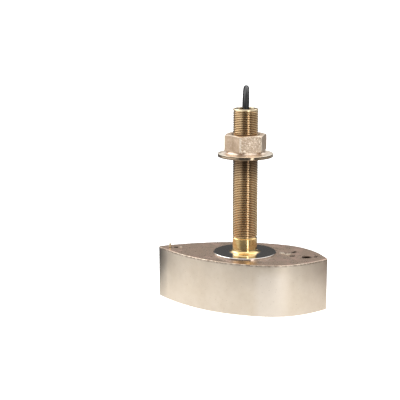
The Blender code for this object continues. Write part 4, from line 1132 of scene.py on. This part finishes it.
def build_plug(nickel, shell_black, rubber, ribs):
    """The plug: ribbed coupling ring, shell, O-ring and boot, about its axis along X."""
    ring = rounded([(0.0102, 0.0), (0.0110, 0.0), (0.0110, 0.0190), (0.0087, 0.0190), (0.0087, 0.0158),
                    (0.0102, 0.0158), (0.0102, 0.0)], 0.0006)[1:]
    shell = rounded([(0.0084, 0.0302), (0.0094, 0.0295), (0.0094, 0.0202), (0.0084, 0.0196), (0.0084, 0.0032),
                     (0.0072, 0.0032), (0.0072, 0.0302), (0.0084, 0.0302)], 0.0004)[1:]
    o_ring = [(0.0093 + 0.0006 * math.cos(a), 0.0086 + 0.0006 * math.sin(a))
              for a in np.linspace(0, 2 * math.pi, 13)[:-1]]
    boot = [(0.0, 0.0305), (0.0084, 0.0305), (0.0084, 0.0345)]
    for number in range(6):
        start = 0.0355 + 0.0036 * number
        radius = 0.0082 - 0.00052 * number
        boot += [(radius, start), (radius, start + 0.0022), (radius - 0.0014, start + 0.0025),
                 (radius - 0.0014, start + 0.0033)]
    boot += [(0.0050, 0.0575), (0.0048, 0.0585), (0.0037, 0.0585), (0.0037, 0.0490), (0.0, 0.0490)]

    def part(name, profile, material, slot, node, is_ring=True):
        return finish_piece(turned(name, profile, material, PLUG, "X", ring=is_ring), slot, node)

    coupling_ring = part("coupling_ring", ring, nickel, "nickelled_brass", "plug_coupling_ring")
    grip = grown("ring_ribs", ribs, nickel, Count=40, Circle_Radius=0.0109, Rib_Radius=0.00045,
                 Rib_Length=0.0125, Centre=(PLUG[0] + 0.0095, PLUG[1], PLUG[2]))
    return [
        coupling_ring,
        finish_piece(smooth(grip), "nickelled_brass"),
        part("rear_shell", shell, shell_black, "black_plastic", "plug_shell"),
        part("seal_ring", o_ring, rubber, "black_rubber", "plug_o_ring"),
        part("cable_boot", rounded(boot, 0.0003, 3), rubber, "black_rubber", "plug_boot", is_ring=False),
    ]


def build_seal(material):
    """The moulded seal round the cable, down in the stem's mouth."""
    outer, inner = BORE_RADIUS - 0.00005, CABLE_RADIUS + 0.0001
    low, high = SEAL_HEIGHTS
    dish = high - 0.0010
    profile = [(inner, low), (outer, low), (outer, high), (outer - 0.0012, high), (outer - 0.0022, dish),
               (inner + 0.0012, dish), (inner, high + 0.0004), (inner, low)]
    return turned("mouth_seal", rounded(profile, 0.0004)[1:], material, (STEM_X, 0, 0), ring=True)


def build_sensor(material):
    """The temperature sensor's capsule, flush with the window."""
    radius, shoulder_z = SENSOR_RADIUS, SENSOR_TOP_Z - 0.0012
    profile = [(0, GAP), (radius - 0.0010, GAP), (radius - 0.0003, GAP + 0.0003), (radius, GAP + 0.0010),
               (radius, shoulder_z), (radius - 0.0012, SENSOR_TOP_Z), (0, SENSOR_TOP_Z)]
    return turned("sensor_capsule", profile, material, (SENSOR_X, 0, 0), steps=64)


def build_pin(material):
    """The locating pin in the top, a little fuller at its foot."""
    profile = [(0, PIN_LOW_Z), (0.0012, PIN_LOW_Z)]
    profile += [(radius, HOUSING_HEIGHT + rise) for radius, rise in (
        (0.0012, 0), (0.0016, 0.0004), (0.0015, 0.0016), (0.0012, 0.0038), (0.0011, 0.0052), (0.0007, 0.0058),
        (0, 0.0058))]
    return turned("pin_body", profile, material, (*PIN_PLACE, 0), steps=32)


def floor_paint():
    """A pale floor. The metal reflects it as a bright table near by, and as light and dark beyond."""
    f = Finish("floor_paint")
    x, y, _ = f.split(f.place)
    radius = f.vector("LENGTH", f.place, output="Value")
    heading = f.math("DEGREES", f.math("ARCTAN2", x, y * -1.0))
    near = f.spread(radius, *TABLE_EDGE, 1.0, 0.0)
    sides = f.spread(heading, -100, -66) * f.spread(heading, 92, 120, 1.0, 0.0)
    table = f.math("MAXIMUM", sides, f.spread(radius, 0.13, 0.24, 1.0, 0.1)) * TABLE_TONE
    from_left_end = heading - f.spread(radius, 0.38, 0.70, -178, -104)
    from_right_end = heading - f.spread(radius, 0.38, 0.60, -36, -17)
    left = f.spread(from_right_end, -12, 12, 1.0, 0.0) * f.spread(from_left_end, 0, 12)
    left *= f.spread(radius, 0.38, 1.05, *LEFT_TONES)
    right = f.spread(heading, 62, 84, 0.0, RIGHT_TONE) * f.spread(heading, 95, 125, 1.0, 0.72)
    strip = f.spread(heading, 36, 38) * f.spread(heading, 47, 49, STRIP_TONE, 0.0)
    glow = near * table + (1.0 - near) * (left + right + strip)
    seen = f.add("ShaderNodeLightPath", output="Is Camera Ray")
    lift = (1.0 - seen) * glow + seen * FLOOR_LIFT
    paint = f.mix(seen, (0.08, 0.08, 0.08), (0.81, 0.81, 0.81))
    return f.done(paint, 0.6, Emission_Strength=lift, Emission_Color=(1, 1, 1))


def build_studio():
    """A plain pale floor, soft lamps, and a surrounding light that is dark low down for what reflects it."""
    bm = bmesh.new()
    bmesh.ops.create_circle(bm, cap_ends=True, segments=96, radius=FLOOR_RADIUS)
    mesh = bpy.data.meshes.new("floor")
    bm.to_mesh(mesh)
    bm.free()
    floor = link("floor", mesh, floor_paint())
    aim = Vector(LAMP_AIM)
    for name, azimuth, rise, distance, size, power in LAMPS:
        data = bpy.data.lights.new(name, "AREA")
        data.shape = "RECTANGLE"
        data.size, data.size_y = size
        data.energy = power
        a = math.radians(azimuth)
        lamp = bpy.data.objects.new(name, data)
        lamp.location = aim + Vector((math.sin(a) * distance, -math.cos(a) * distance, rise))
        lamp.rotation_mode = "QUATERNION"
        lamp.rotation_quaternion = (lamp.location - aim).to_track_quat("Z", "Y")
        bpy.context.scene.collection.objects.link(lamp)
    world = bpy.data.worlds.new("surroundings")
    world.use_nodes = True
    bpy.context.scene.world = world
    nodes = Nodes(world.node_tree)
    x, _, z = nodes.split(nodes.add("ShaderNodeTexCoord", output="Generated"))
    drop = nodes.spread(x, -0.85, -0.55, LEFT_DROP, 0.0) + nodes.spread(x, 0.55, 0.85, 0.0, RIGHT_DROP)
    seen = nodes.add("ShaderNodeLightPath", output="Is Camera Ray")
    background = world.node_tree.nodes["Background"].inputs
    shade = nodes.math("MAXIMUM", nodes.spread(z + drop, *WORLD_HEIGHTS, *WORLD_SHADES), seen)
    nodes.feed(background["Strength"], shade)
    nodes.feed(background["Color"], (1, 1, 1))
    view = bpy.context.scene.view_settings
    view.view_transform = "Standard"
    view.look = "None"


def dress(names, material):
    """Gives CAD nodes that stay a better material."""
    for name in names:
        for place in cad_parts[name].material_slots:
            place.material = material


# The cable comes first
PATH = cable_path()
CABLE = tube("cable_run", PATH, CABLE_RADIUS, cable_jacket())
finish_piece(CABLE, "cable_jacket", "cable", "cable_coil", "cable_tail")

build_studio()

RUBBER = dark_moulding("black_rubber", (0.018, 0.018, 0.018), 0.55)
SHELL_BLACK = dark_moulding("black_plastic", (0.03, 0.03, 0.03), 0.40)
URETHANE = dark_moulding("urethane", (0.022, 0.022, 0.022), 0.48, scale=30.0, grain=0.5, dust=0.10)
TAPE = tie_fabric()
STEEL = grained("stainless_steel", (0.78, 0.77, 0.74), (0.62, 0.60, 0.56), 0.26, 0.004, 0.0004, 0.1, 1.0)
INSIDE = grained("as_cast_bronze", (0.42, 0.31, 0.20), (0.30, 0.21, 0.13), 0.6, 0.010, 0.0012, 0.6, 1.0)
PIN_METAL = grained("pin_metal", (0.88, 0.76, 0.54), (0.66, 0.53, 0.33), 0.30, 0.002, 0.0004, 0.2, 1.0)
FACE = turned_bronze("turned_face", (0.74, 0.69, 0.64), (0.64, 0.61, 0.58), 0.05, 0.004, "radius",
                     spacing=0.0020, uneven=0.02)
BAND = turned_bronze("turned_band", (0.84, 0.61, 0.29), (0.67, 0.45, 0.17), 0.07, 0.08, oil=0.4)
MOUTH = turned_bronze("turned_mouth", (0.84, 0.72, 0.50), (0.66, 0.52, 0.34), 0.22, 0.2, "radius")
# The flange rim's dark base colour is painted shade, for the dark reflection in its polished band
RIM = turned_bronze("turned_rim", (0.46, 0.36, 0.25), (0.20, 0.14, 0.09), 0.10, 0.08, oil=0.35)
CASTING = [blasted_bronze(), cast_bronze_top(), FACE, BAND, MOUTH, INSIDE, drilled_bronze()]

finish_piece(build_housing(CASTING), "cast_bronze", "housing")
finish_piece(build_thread(thread_tree(), threaded_bronze()), "cast_bronze")
finish_piece(build_nut([cast_nut_bronze(), RIM]), "nut_bronze", "hull_nut")
finish_piece(build_window(URETHANE), "urethane", "acoustic_window")
finish_piece(build_sensor(STEEL), "stainless_steel", "temperature_sensor")
finish_piece(build_seal(RUBBER), "black_rubber", "stem_seal")
finish_piece(build_pin(PIN_METAL), "stainless_steel", "locating_pin")
STRAPS = [finish_piece(build_tie(number, angle, TAPE), "tie_fabric", f"coil_tie_{number}")
          for number, angle in enumerate(TIE_ANGLES, 1)]
PLUG_PIECES = build_plug(satin_nickel(), SHELL_BLACK, RUBBER, rib_tree())
CONTACTS = [f"plug_contact_{number}" for number in range(1, 6)]

# CAD nodes that stay, then grained()'s name, light, dark, rough, patch, grain, strength and metallic
dress(["plug_insert", "identity_chip"], SHELL_BLACK)
for names, *look in (
    (CONTACTS, "gold_flash", (0.90, 0.68, 0.28), (0.80, 0.56, 0.20), 0.2, 0.002, 0.0003, 0.05, 1.0),
    ([*(f"ceramic_50khz_{number}" for number in range(1, 8)), "ceramic_200khz"],
     "fired_silver", (0.76, 0.74, 0.70), (0.60, 0.57, 0.50), 0.38, 0.006, 0.0004, 0.2, 0.6),
    (["element_carrier"], "syntactic_foam", (0.20, 0.15, 0.10), (0.12, 0.09, 0.06), 0.8, 0.008, 0.0008, 0.6),
    (["wall_liner", "backing_puck", "cork_backing"],
     "pressed_cork", (0.48, 0.31, 0.17), (0.24, 0.14, 0.07), 0.85, 0.0025, 0.0014, 0.8),
    (["circuit_board"], "solder_mask", (0.02, 0.18, 0.07), (0.015, 0.13, 0.05), 0.35, 0.003, 0.0005, 0.1),
    (["capacitor_1", "capacitor_2"],
     "capacitor_sleeve", (0.03, 0.10, 0.36), (0.02, 0.08, 0.28), 0.35, 0.004, 0.0005, 0.1),
    (["transformer_core"],
     "ground_ferrite", (0.07, 0.07, 0.075), (0.045, 0.045, 0.05), 0.45, 0.004, 0.0004, 0.3),
    (["transformer_winding"],
     "enamelled_copper", (0.64, 0.25, 0.11), (0.50, 0.17, 0.07), 0.3, 0.002, 0.0004, 0.4, 1.0),
):
    dress(names, grained(*look))
for wire, shade, leads in (
    ("red", (0.5, 0.02, 0.02), ["sensor_lead", "disc_lead", "array_lead"]),
    ("black", (0.02, 0.02, 0.02), []),
    ("white", (0.72, 0.72, 0.70), []),
    ("brown", (0.16, 0.07, 0.03), []),
):
    insulation = dark_moulding(f"insulation_{wire}", shade, 0.35, scale=150.0, grain=0.1, dust=0.04)
    dress([f"conductor_{wire}", *leads], insulation)
